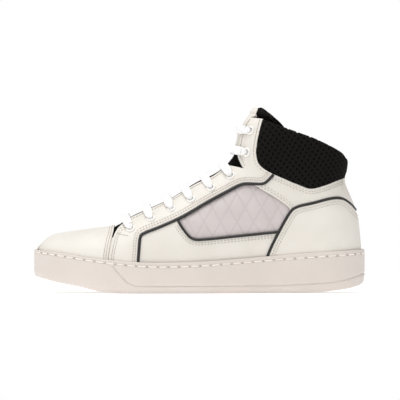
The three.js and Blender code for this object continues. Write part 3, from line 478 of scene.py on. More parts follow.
core_foam = foam("core_foam", (0.70, 0.68, 0.62))
board = fibre_board()
for node, material in [("midsole_foam", core_foam), ("insole_board", board), ("toe_puff", board),
                       ("heel_stiffener", board)]:
    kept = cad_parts[node]
    kept.data.materials.clear()
    kept.data.materials.append(material)

# ---- The last's shape ------------------------------------------------------------------------
# Every panel of the upper lies on the form that the last gives it. The form is measured along
# rays that fan out from a point above the throat, and a layer lies at its depth below it.
FAN = np.array([-36.0, 213.0])
ROUNDING = 64
UPPER_POWER = 2.2
STEEPEST = 1.8

toe_tip = np.array([[-149.3, 39.0]])
back_line = curve([(148.6, 20), (148.6, 41), (147, 60), (145, 73), (140.5, 86), (134.5, 101), (136.3, 112),
                   (137, 120), (136.5, 130), (137, 145), (138, 160)], 80)
ridge_line = np.vstack([toe_tip, curve([
    (-146.5, 43.5), (-140, 50), (-132.5, 53.6), (-117, 56.4), (-98, 59), (-82, 61), (-74, 64.5), (-61, 73),
    (-44, 80.5), (-26, 89), (-4, 103), (12, 110.5), (22, 117.5), (30, 127), (33.5, 137), (36, 147), (40, 157),
    (46, 165), (53, 173), (58, 182)], 240)])


def back_at(z):
    return np.interp(z, back_line[:, 1], back_line[:, 0])


def base_height(x):
    return lip(x) - 9


base_x = np.linspace(-148.3, back_at(20), 200)
base_line = np.column_stack([base_x, base_height(base_x)])
outer_line = np.vstack([toe_tip, base_line, back_line[back_line[:, 1] > base_height(HEEL_END) + 1]])


def ray_to(x, z):
    return np.arctan2(z - FAN[1], x - FAN[0]), np.hypot(x - FAN[0], z - FAN[1])


def by_angle(line):
    angle, radius = ray_to(line[:, 0], line[:, 1])
    return np.maximum.accumulate(angle + np.arange(len(angle)) * 1e-9), radius


ridge_angle, ridge_radius = by_angle(ridge_line)
outer_angle, outer_radius = by_angle(outer_line)
rays = np.linspace(ridge_angle[0], ridge_angle[-1], 1200)
ray_ridge = np.interp(rays, ridge_angle, ridge_radius)
ray_outer = np.interp(rays, outer_angle, outer_radius)
ray_slant = np.minimum(np.hypot(1, np.gradient(ray_ridge, rays) / ray_ridge), STEEPEST)
ray_slant = np.convolve(np.pad(ray_slant, 12, "edge"), np.ones(25) / 25, "valid")
ray_length = np.maximum(ray_outer - ray_ridge, 0)
ray_rounding = np.maximum(np.minimum(0.92 * ray_length, ROUNDING), 1)


def ankle_half(z):
    return HEEL_HALF_WIDTH - LIP_WALL - 3.2 * smooth(55, 100, z) + 3 * smooth(112, 160, z)


def upper_half(x, z, depth):
    """Half the width of the upper at a side-view place, drawn in by a depth."""
    angle, radius = ray_to(x, z)
    near = np.interp(angle, rays, ray_ridge) + depth * np.interp(angle, rays, ray_slant)
    rounding = np.maximum(np.interp(angle, rays, ray_rounding) - depth, 1)
    share = np.clip((radius - near) / rounding, 0, 1)
    foot = footprint_half(x, depth + LIP_WALL, ankle_half(z) + LIP_WALL, back_at(z) + LIP_WALL)
    return foot * (1 - (1 - share) ** UPPER_POWER) ** (1 / UPPER_POWER)


def on_upper(x, z, depth, side):
    return np.stack([x, centre_line(x) + side * upper_half(x, z, depth), z + 0 * x], axis=-1)


widest_x = FAN[0] + np.cos(rays) * (ray_ridge + ray_rounding)
widest_z = FAN[1] + np.sin(rays) * (ray_ridge + ray_rounding)
ray_girth = (ray_rounding + upper_half(widest_x, widest_z, 0)) / 2
outer_x = FAN[0] + np.cos(rays) * ray_outer
toe_width = np.where(outer_x < -80, upper_half(outer_x, FAN[1] + np.sin(rays) * ray_outer, 0), 0)
widening = np.where(toe_width[1:] > 0, np.diff(toe_width), 0)
ray_steps = np.hypot(np.diff(rays) * (ray_ridge + ray_outer)[1:] / 2, widening)
ray_along = np.r_[0, np.cumsum(ray_steps)]


class FrontChart:
    """Lays the front of the upper out flat: along from the toe, and down from the ridge."""

    def flatten(self, line):
        angle, radius = ray_to(line[:, 0], line[:, 1])
        below = radius - np.interp(angle, rays, ray_ridge)
        rounding = np.interp(angle, rays, ray_rounding)
        girth = np.interp(angle, rays, ray_girth)
        down = girth * np.arccos(1 - np.clip(below / rounding, 0, 1)) + np.maximum(below - rounding, 0)
        return np.column_stack([np.interp(angle, rays, ray_along), np.where(below < 0, below, down)])

    def drawn(self, flat, depth=0):
        """Side-view places of flat points, at a depth."""
        angle = np.interp(flat[:, 0], ray_along, rays)
        rounding = np.interp(angle, rays, ray_rounding)
        girth = np.interp(angle, rays, ray_girth)
        turn = np.clip(flat[:, 1] / girth, 0, math.pi / 2)
        beyond = np.maximum(flat[:, 1] - girth * math.pi / 2, 0)
        share = 1 - np.cos(turn)
        slant = np.interp(angle, rays, ray_slant)
        sunk = depth * (slant * (1 - share))
        radius = np.interp(angle, rays, ray_ridge) + share * rounding + beyond + sunk
        return np.column_stack([FAN[0] + np.cos(angle) * radius, FAN[1] + np.sin(angle) * radius])


class HeelChart:
    """Lays the heel out flat: forwards from the back seam, and up."""

    REACH = HEEL_ROUND - LIP_WALL
    GIRTH = 36.0

    def flatten(self, line):
        gap = back_at(line[:, 1]) - line[:, 0]
        share = np.clip(gap / self.REACH, 0, 1)
        forward = self.GIRTH * np.arccos(1 - share) + np.maximum(gap - self.REACH, 0)
        return np.column_stack([np.where(gap < 0, gap, forward), line[:, 1]])

    def drawn(self, flat, depth=0):
        turn = np.clip(flat[:, 0] / self.GIRTH, 0, math.pi / 2)
        beyond = np.maximum(flat[:, 0] - self.GIRTH * math.pi / 2, 0)
        gap = (1 - np.cos(turn)) * (self.REACH - depth) + depth + beyond
        return np.column_stack([back_at(flat[:, 1]) - gap, flat[:, 1]])


front_chart = FrontChart()
heel_chart = HeelChart()


def lifted(chart, flat, depth, side):
    """Points on the upper from flat ones, each at its own depth on its own side."""
    x, z = chart.drawn(flat, depth).T
    points = on_upper(x, z, depth, side)
    chart_edge = flat[:, 1] if chart is front_chart else flat[:, 0]
    points[:, 1] = np.where(chart_edge < 1e-6, centre_line(x), points[:, 1])
    return points


def trimmed(polygon, axis):
    """A flat outline cut off at the ridge (axis 1) or the back seam (axis 0)."""
    kept = []
    for here, after in zip(polygon, np.roll(polygon, -1, axis=0)):
        if here[axis] >= 0:
            kept.append(here)
        if (here[axis] >= 0) != (after[axis] >= 0):
            share = here[axis] / (here[axis] - after[axis])
            kept.append(here + (after - here) * share)
    return np.array(kept)


def closed(*lines):
    """An outline from lines that meet, with evenly spaced points above the bottom of the cup."""
    corners = np.vstack([np.asarray(line, float) for line in lines])
    corners = np.vstack([corners, corners[:1]])
    points = []
    for here, after in zip(corners[:-1], corners[1:]):
        count = int(np.hypot(*(after - here)) // 1.6) + 1
        points += [here + (after - here) * k / count for k in range(count)]
    points = np.array(points)
    points[:, 1] = np.maximum(points[:, 1], base_height(points[:, 0]) + 0.3)
    apart = np.hypot(*(points - np.roll(points, 1, axis=0)).T) > 0.3
    return points[apart]


def within(polygon, points):
    """Whether each point lies inside a polygon."""
    x, y = points[:, 0], points[:, 1]
    inside = np.zeros(len(points), bool)
    for (ax, ay), (bx, by) in zip(polygon, np.roll(polygon, -1, axis=0)):
        if ay == by:
            continue
        crosses = (ay > y) != (by > y)
        inside ^= crosses & (x < (bx - ax) * (y - ay) / (by - ay) + ax)
    return inside


EDGE_RINGS = (0.3, 0.8, 1.5, 2.3, 3.2)
EDGE_DROP = 0.5
EDGE_ROUND = 0.9
TIP_FACE = 0.3  # where the steep front face of the toe ends in the flat chart


def flat_mesh(outline, chart, spacing, edge_rings):
    """Flat points and triangles that fill an outline."""
    axis = 1 if chart is front_chart else 0
    border = trimmed(chart.flatten(outline), axis)
    border = border[np.hypot(*(border - np.roll(border, 1, axis=0)).T) > 0.05]
    rim = []
    for here, after in zip(border, np.roll(border, -1, axis=0)):
        count = int(np.hypot(*(after - here)) // (spacing * 1.1)) + 1
        rim += [here + (after - here) * k / count for k in range(count)]
    rim = np.array(rim)
    after = np.roll(rim, -1, axis=0)
    over_tip = (np.maximum(rim[:, 1], after[:, 1]) < 1e-6) & (np.minimum(rim[:, 0], after[:, 0]) < 1e-6)
    has_tip = chart is front_chart and over_tip.any()
    if has_tip:
        rim = np.insert(rim, np.flatnonzero(over_tip)[0] + 1, (TIP_FACE, 0), axis=0)
    low, high = rim.min(0), rim.max(0)
    columns = np.arange(low[0], high[0], spacing)
    rows = np.arange(low[1], high[1], spacing * 0.87)
    lattice = np.array([(x + spacing / 2 * (k % 2), y) for k, y in enumerate(rows) for x in columns])
    lattice = lattice[within(rim, lattice)]
    loop = np.vstack([outline, outline[:1]])
    edge = away_from(loop, *chart.drawn(lattice).T)
    off_seam = lattice[:, axis] > spacing * 0.5
    inner = [lattice[(edge > (edge_rings[-1] if edge_rings else 0) + spacing * 0.55) & off_seam]]
    if has_tip:
        face = np.array([(TIP_FACE * k, y) for k in (1, 2.5) for y in np.arange(1.2, 30, 1.2)])
        inner.append(face[within(rim, face)])
    turn = np.roll(outline, -1, axis=0) - np.roll(outline, 1, axis=0)
    turn /= np.linalg.norm(turn, axis=1)[:, None] + 1e-9
    area = (outline[:, 0] * np.roll(outline[:, 1], -1) - np.roll(outline[:, 0], -1) * outline[:, 1]).sum()
    inwards = np.column_stack([-turn[:, 1], turn[:, 0]]) * (1 if area > 0 else -1)
    for inset in edge_rings:
        ring = outline + inwards * inset
        ring = ring[(away_from(loop, *ring.T) > inset * 0.95) & within(outline, ring)]
        ring = chart.flatten(ring)
        ring = ring[ring[:, axis] > spacing * 0.3]
        if len(ring):
            inner.append(ring[within(rim, ring)])
    points = np.vstack([rim, *inner])
    rim_edges = [(k, (k + 1) % len(rim)) for k in range(len(rim))]
    made = delaunay_2d_cdt([Vector(point) for point in points], rim_edges, [], 0, 1e-5)
    flat = np.array([tuple(point) for point in made[0]])
    triangles = np.array([face for face in made[2] if len(face) == 3])
    triangles = triangles[within(rim, flat[triangles].mean(1))]
    return flat, triangles


def panel(outline, chart, depth, thickness, sides, spacing=2.6, rings=EDGE_RINGS, swell=None, holes=()):
    """A closed sheet of the upper inside an outline: its face rounds over at the cut edge."""
    flat, triangles = flat_mesh(outline, chart, spacing, rings)
    drawn = chart.drawn(flat)
    for place, radius in holes:
        centres = drawn[triangles].mean(1)
        triangles = triangles[np.hypot(centres[:, 0] - place[0], centres[:, 1] - place[1]) > radius]
    used = np.unique(triangles)
    renumber = np.zeros(len(flat), int)
    renumber[used] = np.arange(len(used))
    flat, drawn, triangles = flat[used], drawn[used], renumber[triangles]
    edge = away_from(np.vstack([outline, outline[:1]]), *drawn.T)
    rounded = EDGE_DROP * (1 - np.sqrt(1 - (1 - np.clip(edge / EDGE_ROUND, 0, 1)) ** 2))
    top = depth + rounded + (swell(drawn[:, 0], drawn[:, 1], edge) if swell else 0)
    bottom = depth + thickness + 0 * top
    axis = 1 if chart is front_chart else 0
    on_seam = flat[:, axis] < 1e-6
    count = len(flat)
    tops, bottoms, faces = [], [], []
    index = np.arange(count)
    for order, side in enumerate(sides):
        tops.append(lifted(chart, flat, top, side))
        bottoms.append(lifted(chart, flat, bottom, side))
        number = index + order * count
        if order:
            number = np.where(on_seam, index, number)
        kept = number[triangles]
        faces.append(kept if side > 0 else kept[:, ::-1])
    faces = np.vstack(faces)
    if chart is heel_chart:
        faces = faces[:, ::-1]
    tops, bottoms = np.vstack(tops), np.vstack(bottoms)
    total = len(tops)
    edges = {pair: True for a, b, c in faces for pair in ((a, b), (b, c), (c, a))}
    walls = [(b, a, a + total, b + total) for a, b in edges if (b, a) not in edges]
    skin = [tuple(face) for face in faces]
    under = [(a + total, c + total, b + total) for a, b, c in faces]
    return np.vstack([tops, bottoms]), [*skin, *walls, *under]


def tidy_mesh(piece):
    """Drops loose points and turns the faces outwards."""
    work = bmesh.new()
    work.from_mesh(piece.data)
    bmesh.ops.remove_doubles(work, verts=work.verts, dist=0.00001)
    loose = [vertex for vertex in work.verts if not vertex.link_faces]
    bmesh.ops.delete(work, geom=loose, context="VERTS")
    bmesh.ops.recalc_face_normals(work, faces=work.faces)
    work.to_mesh(piece.data)
    work.free()
    piece.data.shade_smooth()
    piece.data.set_sharp_from_angle(angle=math.radians(50))


def sheet_piece(name, body, material, slot, *stands_for):
    """A panel's points and faces as a tidy piece of the shoe."""
    piece = new_piece(name, *body, material, slot, stands_for=stands_for)
    tidy_mesh(piece)
    return piece


# ---- Linings and footbed ---------------------------------------------------------------------
# White knitted lining, glued edge to edge: the toe box, the two sides and the heel. The footbed
# is a moulded foam sheet faced with the same cloth, and lies loose on the board.
LEATHER = 1.2
UNDERLAY = 1.0
GAP = 0.3
UNDERLAY_TOP = LEATHER + GAP
STIFFENER_TOP = UNDERLAY_TOP + UNDERLAY + GAP
LINING_TOP = STIFFENER_TOP + 0.8 + GAP
LINING = 0.8
LINING_FACE = LINING_TOP + LINING
LINING_SPACING = 4.0
LINING_RING = (0.8,)
BOTH = (-1, 1)
SIDES = (("lateral", -1), ("medial", 1))
FOOTBED_LOW = GAP * 2 + 2
FOOTBED_THICKNESS = 5
FOOTBED_STATIONS = 90
FOOTBED_STEPS = 24


def lining_cloth():
    finish = Finish("lining_cloth", 0.9, Sheen_Weight=0.3)
    x, y, z = finish.axes()
    knit = (x * 5.2).cosine() * (z * 5.2 + y * 2.5).cosine()
    rubbed = finish.noise(14, 3).between(0.35, 0.8)
    finish.wear("Base Color", finish.mixed(rubbed, colour(0.74, 0.72, 0.68), colour(0.80, 0.78, 0.75)))
    finish.wear("Normal", finish.relief(knit * 0.5 + finish.noise(0.7, 3), 0.12))
    return finish.material


lining = lining_cloth()


def lining_piece(name, area, chart, sides, stands_for):
    """One piece of the lining, cut to an area."""
    body = panel(area, chart, LINING_TOP, LINING, sides, LINING_SPACING, LINING_RING)
    sheet_piece(name, body, lining, "textile_white", stands_for)


lining_seam = curve([(-58, 20), (-60, 42), (-68, 56), (-76, 80)])
toe_box_seam = curve([(-58, 20), (-60, 42), (-66, 49), (-79, 54), (-80, 62), (-80, 80)])
lining_edge = curve([(-61, 50), (-44, 59.5), (-25, 69), (-7, 77.5), (10, 87.5), (28, 98.5), (41, 107),
                     (50, 119), (51.5, 130), (53, 140), (54.5, 150), (57, 158)])
collar_low = curve([(66.5, 109), (78, 104), (92.5, 98), (102, 95.2), (114.5, 98), (134.5, 105), (146, 108)])

toe_box = closed(toe_box_seam, [(-160, 80), (-153, 40), (-147.9, 30)])
lining_piece("toe_box_lining", toe_box, front_chart, BOTH, "vamp_lining")
side_front = lining_seam[lining_seam[:, 1] < 48] + (0.3, 0)
under_collar = collar_low[collar_low[:, 0] < 85.4] + (0, -0.6)
for label, side in SIDES:
    area = closed(side_front, lining_edge, [(66, 109)], under_collar, [(85.4, 20)])
    lining_piece(f"side_lining_{label}", area, front_chart, (side,), f"quarter_lining_{label}")
heel_top = collar_low[collar_low[:, 0] > 85.8][::-1]
heel_area = closed([(85.8, 20), (170, 20), (170, 107)], heel_top + (0, -0.6))
lining_piece("heel_lining_cloth", heel_area, heel_chart, BOTH, "heel_lining")

footbed_rows = []
for x in np.linspace(-142, 141, FOOTBED_STATIONS):
    level = float(base_height(x)) + FOOTBED_LOW
    half = float(upper_half(np.array(x), np.array(level + 6.0), LINING_FACE + 0.9))
    across = np.linspace(-1, 1, FOOTBED_STEPS)
    dish = 2.2 * np.abs(across) ** 4 * smooth(10, 60, half) * smooth(-90, 20, x)
    upper_row = np.column_stack([0 * across + x, centre_line(x) + half * across,
                                 level + FOOTBED_THICKNESS + dish])
    lower_row = upper_row[::-1] * (1, 1, 0) + (0, 0, level)
    footbed_rows.append(np.vstack([upper_row, lower_row]))
footbed_faces = grid_faces(FOOTBED_STATIONS, 2 * FOOTBED_STEPS, around=True)
footbed_faces += [list(range(2 * FOOTBED_STEPS)),
                  [(FOOTBED_STATIONS - 1) * 2 * FOOTBED_STEPS + k for k in range(2 * FOOTBED_STEPS)][::-1]]
sheet_piece("footbed_sheet", (np.vstack(footbed_rows), footbed_faces), lining, "textile_white", "footbed")

# ---- Vamp and toe cap ------------------------------------------------------------------------
# The toe cap is one plain piece of white leather, drawn tight round the tip of the toe and sewn
# over the vamp behind it with two rows.
TIP_CENTRE = (-145.6, TOE_SWING, 38.0)
TIP_SIZE = (3.9, 13.5, 5.0)
TIP_ROWS = 15
TIP_SIDES = 32


def leather(name, light, dark, roughness=0.5):
    """Corrected-grain leather: fine pebbles with painted shade in the valleys between them, a little
    cloudiness and faint creases.
    """
    finish = Finish(name, roughness, Specular_IOR_Level=0.45)
    clouds = finish.noise(26, 3).between(0.3, 0.8)
    pebbles = finish.cells(0.85, "DISTANCE_TO_EDGE").between(0.0, 0.16)
    fine = finish.noise(0.35, 2)
    shade = finish.mixed(clouds, colour(*light), colour(*dark))
    # The lines between the pebbles are darkened a little: painted shade in the grain's valleys.
    valley_shade = colour(*[part * 0.72 for part in dark])
    finish.wear("Base Color", finish.mixed((1 - pebbles) * 0.10, shade, valley_shade))
    finish.wear("Roughness", roughness - 0.06 + 0.12 * finish.noise(5, 3))
    coarse = finish.relief(pebbles, 0.035)
    creases = finish.relief(finish.noise(9, 4), 0.12, coarse)
    finish.wear("Normal", finish.relief(fine, 0.03, creases))
    return finish.material


white_leather = leather("white_leather", (0.785, 0.745, 0.685), (0.745, 0.705, 0.64))
STITCH_PITCH = 2.7
STITCH_LENGTH = 1.5
STITCH_RADIUS = 0.34
SEAM_SINK = 0.16
STITCH_ARCH = ((-1, -0.12), (-0.6, 0.14), (0.6, 0.14), (1, -0.12))


def shaded_seam_thread():
    finish = Finish("shaded_seam_thread", 0.75)
    strands = finish.noise(0.5, 2)
    # The white thread is coloured grey, darker than the leather: painted shade of the needle holes, so each
    # stitch reads as a dark dot.
    finish.wear("Base Color", finish.mixed(strands, colour(0.44, 0.40, 0.35), colour(0.62, 0.58, 0.53)))
    finish.wear("Normal", finish.relief(strands, 0.06))
    return finish.material


thread = shaded_seam_thread()


def moved(line, distance):
    """A side-view line shifted square to itself, to its left when positive."""
    along = np.gradient(line, axis=0)
    along /= np.linalg.norm(along, axis=1)[:, None]
    return line + np.column_stack([-along[:, 1], along[:, 0]]) * distance


def run_on(line, chart, depth, side, step):
    """Evenly spaced points along a side-view line laid on the upper, and outward directions there."""
    axis = 1 if chart is front_chart else 0
    flat = chart.flatten(spaced(line, 0.5))
    flat = spaced(flat[flat[:, axis] > 0.05], step)
    here = lifted(chart, flat, depth, side)
    outside = lifted(chart, flat, depth - 1.0, side)
    outward = outside - here
    along = np.gradient(here, axis=0)
    along /= np.linalg.norm(along, axis=1)[:, None] + 1e-9
    outward -= (outward * along).sum(1)[:, None] * along
    outward /= np.linalg.norm(outward, axis=1)[:, None] + 1e-9
    return here, outward, along


def sew(name, rows, sides):
    """Rows of stitches as short raised threads: each row is a line, its chart and its depth."""
    stitches = Gathered()
    for side in sides:
        for line, chart, depth in rows:
            here, outward, along = run_on(line, chart, depth, side, STITCH_PITCH)
            for middle, out, way in list(zip(here, outward, along))[1:-1]:
                reach = way * STITCH_LENGTH / 2
                path = [middle + reach * part + out * lift for part, lift in STITCH_ARCH]
                stitches.add(tube(path, STITCH_RADIUS * np.array([0.6, 1, 1, 0.6]), 6))
    return new_piece(name, *stitches.all(), thread, "thread_white")


def sunk_along(*lines):
    """Depth added where seams pull a panel in."""
    def depth(x, z, edge):
        near = np.min([away_from(line, x, z) for line in lines], axis=0)
        return SEAM_SINK * np.exp(-((near / 0.9) ** 2))

    return depth


cap_seam = curve([(-82.5, 22), (-82.5, 34), (-80.5, 47), (-78.5, 55), (-77.5, 62), (-77, 72)])
vamp_edge = curve([(-60, 22), (-60, 42), (-68, 48), (-79, 53), (-80, 60), (-80, 80)])
cap_rows = [moved(cap_seam, 2.2), moved(cap_seam, 4.2)]
toe_area = closed(cap_seam, [(-160, 80), (-153, 40), (-147.9, 30)])
tip_rise = np.linspace(-math.pi / 2, math.pi / 2, TIP_ROWS)[:, None]
tip_turn = np.linspace(0, 2 * math.pi, TIP_SIDES, endpoint=False)[None]
tip_round = np.stack([np.cos(tip_rise) * np.cos(tip_turn), np.cos(tip_rise) * np.sin(tip_turn),
                      np.sin(tip_rise) + 0 * tip_turn], axis=-1)
toe_leather = Gathered()
toe_leather.add(panel(toe_area, front_chart, 0, LEATHER, BOTH, swell=sunk_along(*cap_rows)))
tip_faces = grid_faces(TIP_ROWS, TIP_SIDES, around=True)
toe_leather.add((tip_round.reshape(-1, 3) * TIP_SIZE + TIP_CENTRE, tip_faces))
sheet_piece("toe_cap_leather", toe_leather.all(), white_leather, "leather_white", "toe_cap")
sew("toe_cap_seams", [(line, front_chart, 0) for line in cap_rows], BOTH)
vamp_area = closed(vamp_edge, curve([(-92, 80), (-95, 50), (-96, 22)]))
body = panel(vamp_area, front_chart, UNDERLAY_TOP - 0.2, UNDERLAY, BOTH)
sheet_piece("vamp_leather", body, white_leather, "leather_white", "vamp")

# ---- Facings ---------------------------------------------------------------------------------
# The facing carries the eyelets: it runs from the cup up the throat, steps in at the notch and
# goes on to the top of the ankle. It is edged with rolled piping and sewn with double rows.
PIPING_RADIUS = 1.25
facing_front = curve([(-82, 22), (-81.8, 34), (-79.5, 46), (-77.5, 53.5), (-74, 60), (-68.5, 65.5)])
facing_top = curve([(-68.5, 65.5), (-61, 70.3), (-44, 78), (-26, 86.5), (-4, 99.8), (12, 107), (24, 116)])
notch_low = curve([(24, 116), (28, 116.8), (40.5, 114)], 12)
notch_high = curve([(40.5, 114), (37.5, 119.5), (34.5, 127), (35.8, 136), (38, 146), (41.5, 155.5),
                    (45.5, 161)])
facing_collar = curve([(57.5, 159), (54.5, 148), (52.3, 137), (51.5, 128), (53.5, 119), (59, 113.3),
                       (66.5, 109)])
facing_rear = curve([(66.5, 109), (62, 104), (57, 101), (46, 101.2), (37.5, 100.5), (24, 93.8), (6, 84),
                     (-16, 71.2), (-36, 62), (-50, 56.4), (-54.5, 52), (-56, 38), (-57, 22)], 140)
facing_area = closed(facing_front, facing_top, notch_low, notch_high, facing_collar, facing_rear)
eyelet_places = [(-62.5, 59), (-44, 68.5), (-25.5, 77.5), (-7.5, 86), (10.5, 96.5), (28.5, 107.5),
                 (43, 128.5), (46.5, 148.5)]
EYELET_HOLE = 2.4
facing_rows = [
    moved(facing_rear, -2.0),
    moved(facing_rear, -4.0),
    moved(facing_front, -2.2),
    moved(facing_front, -4.2),
    moved(facing_top, -2.0),
    moved(notch_high, -2.2),
    moved(facing_collar, -2.0),
    np.array([(-75.5, 54.8), (-70, 53.2), (-63.5, 52.2)]),
]


def rolled_black():
    finish = Finish("black_roll", 0.45)
    grain = finish.cells(0.6, "DISTANCE_TO_EDGE").between(0, 0.2)
    finish.wear("Base Color", finish.mixed(grain, colour(0.006, 0.006, 0.006), colour(0.018, 0.017, 0.016)))
    finish.wear("Roughness", 0.42 + 0.2 * finish.noise(3, 2))
    finish.wear("Normal", finish.relief(grain, 0.04))
    return finish.material


piping = rolled_black()


def bead(line, chart, depth, radius, sides):
    """A round bead along a side-view line; over both sides it is one piece through the middle."""
    runs = [run_on(line, chart, depth, side, 1.3)[0] for side in sides]
    if len(runs) == 2:
        joined = np.vstack([runs[0], runs[1][::-1]])
        return tube(spaced(joined, 1.3), radius, 12)
    return tube(runs[0], radius, 12)


for label, side in SIDES:
    facing_holes = [(place, EYELET_HOLE) for place in eyelet_places]
    body = panel(facing_area, front_chart, 0, LEATHER, (side,), spacing=2.2, swell=sunk_along(*facing_rows),
                 holes=facing_holes)
    sheet_piece(f"facing_{label}", body, white_leather, "leather_white", f"eyestay_{label}")
    sew(f"facing_seams_{label}", [(line, front_chart, 0) for line in facing_rows], (side,))
    roll = bead(moved(facing_rear, 1.25), front_chart, 0.7, PIPING_RADIUS, (side,))
    new_piece(f"facing_piping_{label}", *roll, piping, "piping_black",
              stands_for=(f"eyestay_piping_{label}",))
    backing_rear = curve([(56, 160), (52.5, 148), (50, 137), (49, 128), (47, 118), (38, 108), (26, 100),
                          (6, 88.5), (-16, 77), (-36, 67), (-50, 59.5), (-58, 58)])
    backing_front = np.vstack([moved(facing_top, 0.7), moved(notch_low, 0.7), moved(notch_high, 0.7)])
    strip = closed(backing_front, backing_rear)
    body = panel(strip, front_chart, UNDERLAY_TOP, UNDERLAY, (side,), 3, (0.8,), holes=facing_holes)
    sheet_piece(f"facing_backing_{label}", body, lining, "textile_white", f"eyestay_backing_{label}")

# ---- Quarters and side windows ---------------------------------------------------------------
# The quarter is white leather with a piped top edge. The window above it is a thin padded panel
# of pale leather, pressed with a lattice of tall diamonds.
QUARTER_PIPING_RADIUS = 1.15
DIAMOND_WIDTH = 15.0
DIAMOND_HEIGHT = 26.0
PRESSED = 0.3
LATTICE_SHIFT = 3
WINDOW_PUFF = 1.7
quarter_top = curve([(-24, 74), (-20.5, 68.5), (-14, 58), (-6, 49.8), (6, 49.2), (32, 51.6), (56, 54),
                     (80, 56.5)], 90)
band_diagonal = curve([(46, 101.5), (54, 96.3), (69.5, 87), (80, 79.5), (83.5, 74), (85, 66)])
window_top = curve([(-20, 69.3), (-8, 75.5), (6, 84), (24, 93.8), (37.5, 100.5), (46, 101.2)])
window_rear = band_diagonal[(band_diagonal[:, 0] > 50) & (band_diagonal[:, 1] > 68)]
window_low = quarter_top[(quarter_top[:, 0] > -20) & (quarter_top[:, 0] < 78)][::-1]
quarter_area = closed(curve([(-57.5, 20), (-57, 44), (-55, 52.5), (-50, 57.3), (-36, 63.5), (-22, 70)]),
                      quarter_top[(quarter_top[:, 0] > -20) & (quarter_top[:, 0] < 84)] + (0, -0.6),
                      [(92, 70), (92, 20)])
window_area = closed(window_top + (0, 2.5),
                     window_rear + (3, 2),
                     [(88, 68), (88, 55)],
                     window_low + (-1, -2.5))
quarter_rows = [moved(quarter_top[quarter_top[:, 0] > -19], inset) for inset in (-2.6, -4.6)]


def diamonds(x, z):
    """1 on the pressed lines of the lattice, 0 between them."""
    rising = np.cos(2 * math.pi * ((x + LATTICE_SHIFT) / DIAMOND_WIDTH + z / DIAMOND_HEIGHT))
    falling = np.cos(2 * math.pi * ((x + LATTICE_SHIFT) / DIAMOND_WIDTH - z / DIAMOND_HEIGHT))
    return np.maximum(smooth(0.86, 0.97, rising), smooth(0.86, 0.97, falling))


def window_swell(x, z, edge):
    seen = window_edge_distance(x, z)
    return -WINDOW_PUFF * (1 - np.exp(-seen / 7)) + 0.5 * np.exp(-seen / 1.5) + PRESSED * diamonds(x, z)


window_seen = closed(window_top, window_rear, window_low)


def window_edge_distance(x, z):
    distance = away_from(np.vstack([window_seen, window_seen[:1]]), x, z)
    inside = within(window_seen, np.column_stack([x, z]))
    return np.where(inside, distance, 0)


def window_leather():
    finish = Finish("window_leather", 0.5, Specular_IOR_Level=0.5)
    x, _, z = finish.axes()
    across = (x + LATTICE_SHIFT) * (2 * math.pi / DIAMOND_WIDTH)
    up = z * (2 * math.pi / DIAMOND_HEIGHT)
    rising = (across + up).cosine().between(0.86, 0.97)
    falling = (across - up).cosine().between(0.86, 0.97)
    lines = rising.reckon("MAXIMUM", rising, falling)
    clouds = finish.noise(18, 3).between(0.3, 0.8)
    shade = finish.mixed(clouds, colour(0.62, 0.56, 0.55), colour(0.57, 0.51, 0.50))
    finish.wear("Base Color", finish.mixed(lines * 0.3, shade, colour(0.47, 0.42, 0.41)))
    pebbles = finish.cells(0.7, "DISTANCE_TO_EDGE").between(0, 0.18)
    finish.wear("Roughness", 0.46 + 0.14 * lines)
    finish.wear("Normal", finish.relief(pebbles, 0.03, finish.relief(finish.noise(6, 4), 0.15)))
    return finish.material


pale_leather = window_leather()
for label, side in SIDES:
    body = panel(quarter_area, front_chart, UNDERLAY_TOP - 0.3, UNDERLAY, (side,),
                 swell=sunk_along(*quarter_rows))
    sheet_piece(f"quarter_leather_{label}", body, white_leather, "leather_white", f"quarter_{label}")
    sew(f"quarter_seams_{label}", [(line, front_chart, UNDERLAY_TOP - 0.3) for line in quarter_rows], (side,))
    piped = quarter_top[(quarter_top[:, 1] < 67) & (quarter_top[:, 0] < 73)]
    roll = bead(piped, front_chart, UNDERLAY_TOP - 0.55, QUARTER_PIPING_RADIUS, (side,))
    new_piece(f"quarter_roll_{label}", *roll, piping, "piping_black", stands_for=(f"quarter_piping_{label}",))
    body = panel(window_area, front_chart, STIFFENER_TOP - 0.4, 0.8, (side,), spacing=1.5, rings=(0.8,),
                 swell=window_swell)
    pad = sheet_piece(f"window_pad_{label}", body, pale_leather, "leather_window", f"side_window_{label}")

# ---- Ankle bands -----------------------------------------------------------------------------
# A leather band slants down from the top eyelets to the heel counter and holds the collar.
band_area = closed(band_diagonal, [(96, 60), (138, 60)], [(138.5, 86), (133, 104.5)], [(124, 101.5)],
                   collar_low[::-1][(collar_low[::-1][:, 0] > 66.5) & (collar_low[::-1][:, 0] < 122)],
                   [(62, 106), (52, 103.5)])
band_rows = [moved(band_diagonal[:52], 2.2), moved(band_diagonal[:52], 4.2), moved(collar_low[:50], -2.4),
             moved(collar_low[:50], -4.4)]
for label, side in SIDES:
    body = panel(band_area, heel_chart, UNDERLAY_TOP - 0.4, UNDERLAY, (side,), swell=sunk_along(*band_rows))
    sheet_piece(f"ankle_band_leather_{label}", body, white_leather, "leather_white", f"ankle_band_{label}")
    sew(f"ankle_band_seams_{label}", [(line, heel_chart, UNDERLAY_TOP - 0.4) for line in band_rows], (side,))

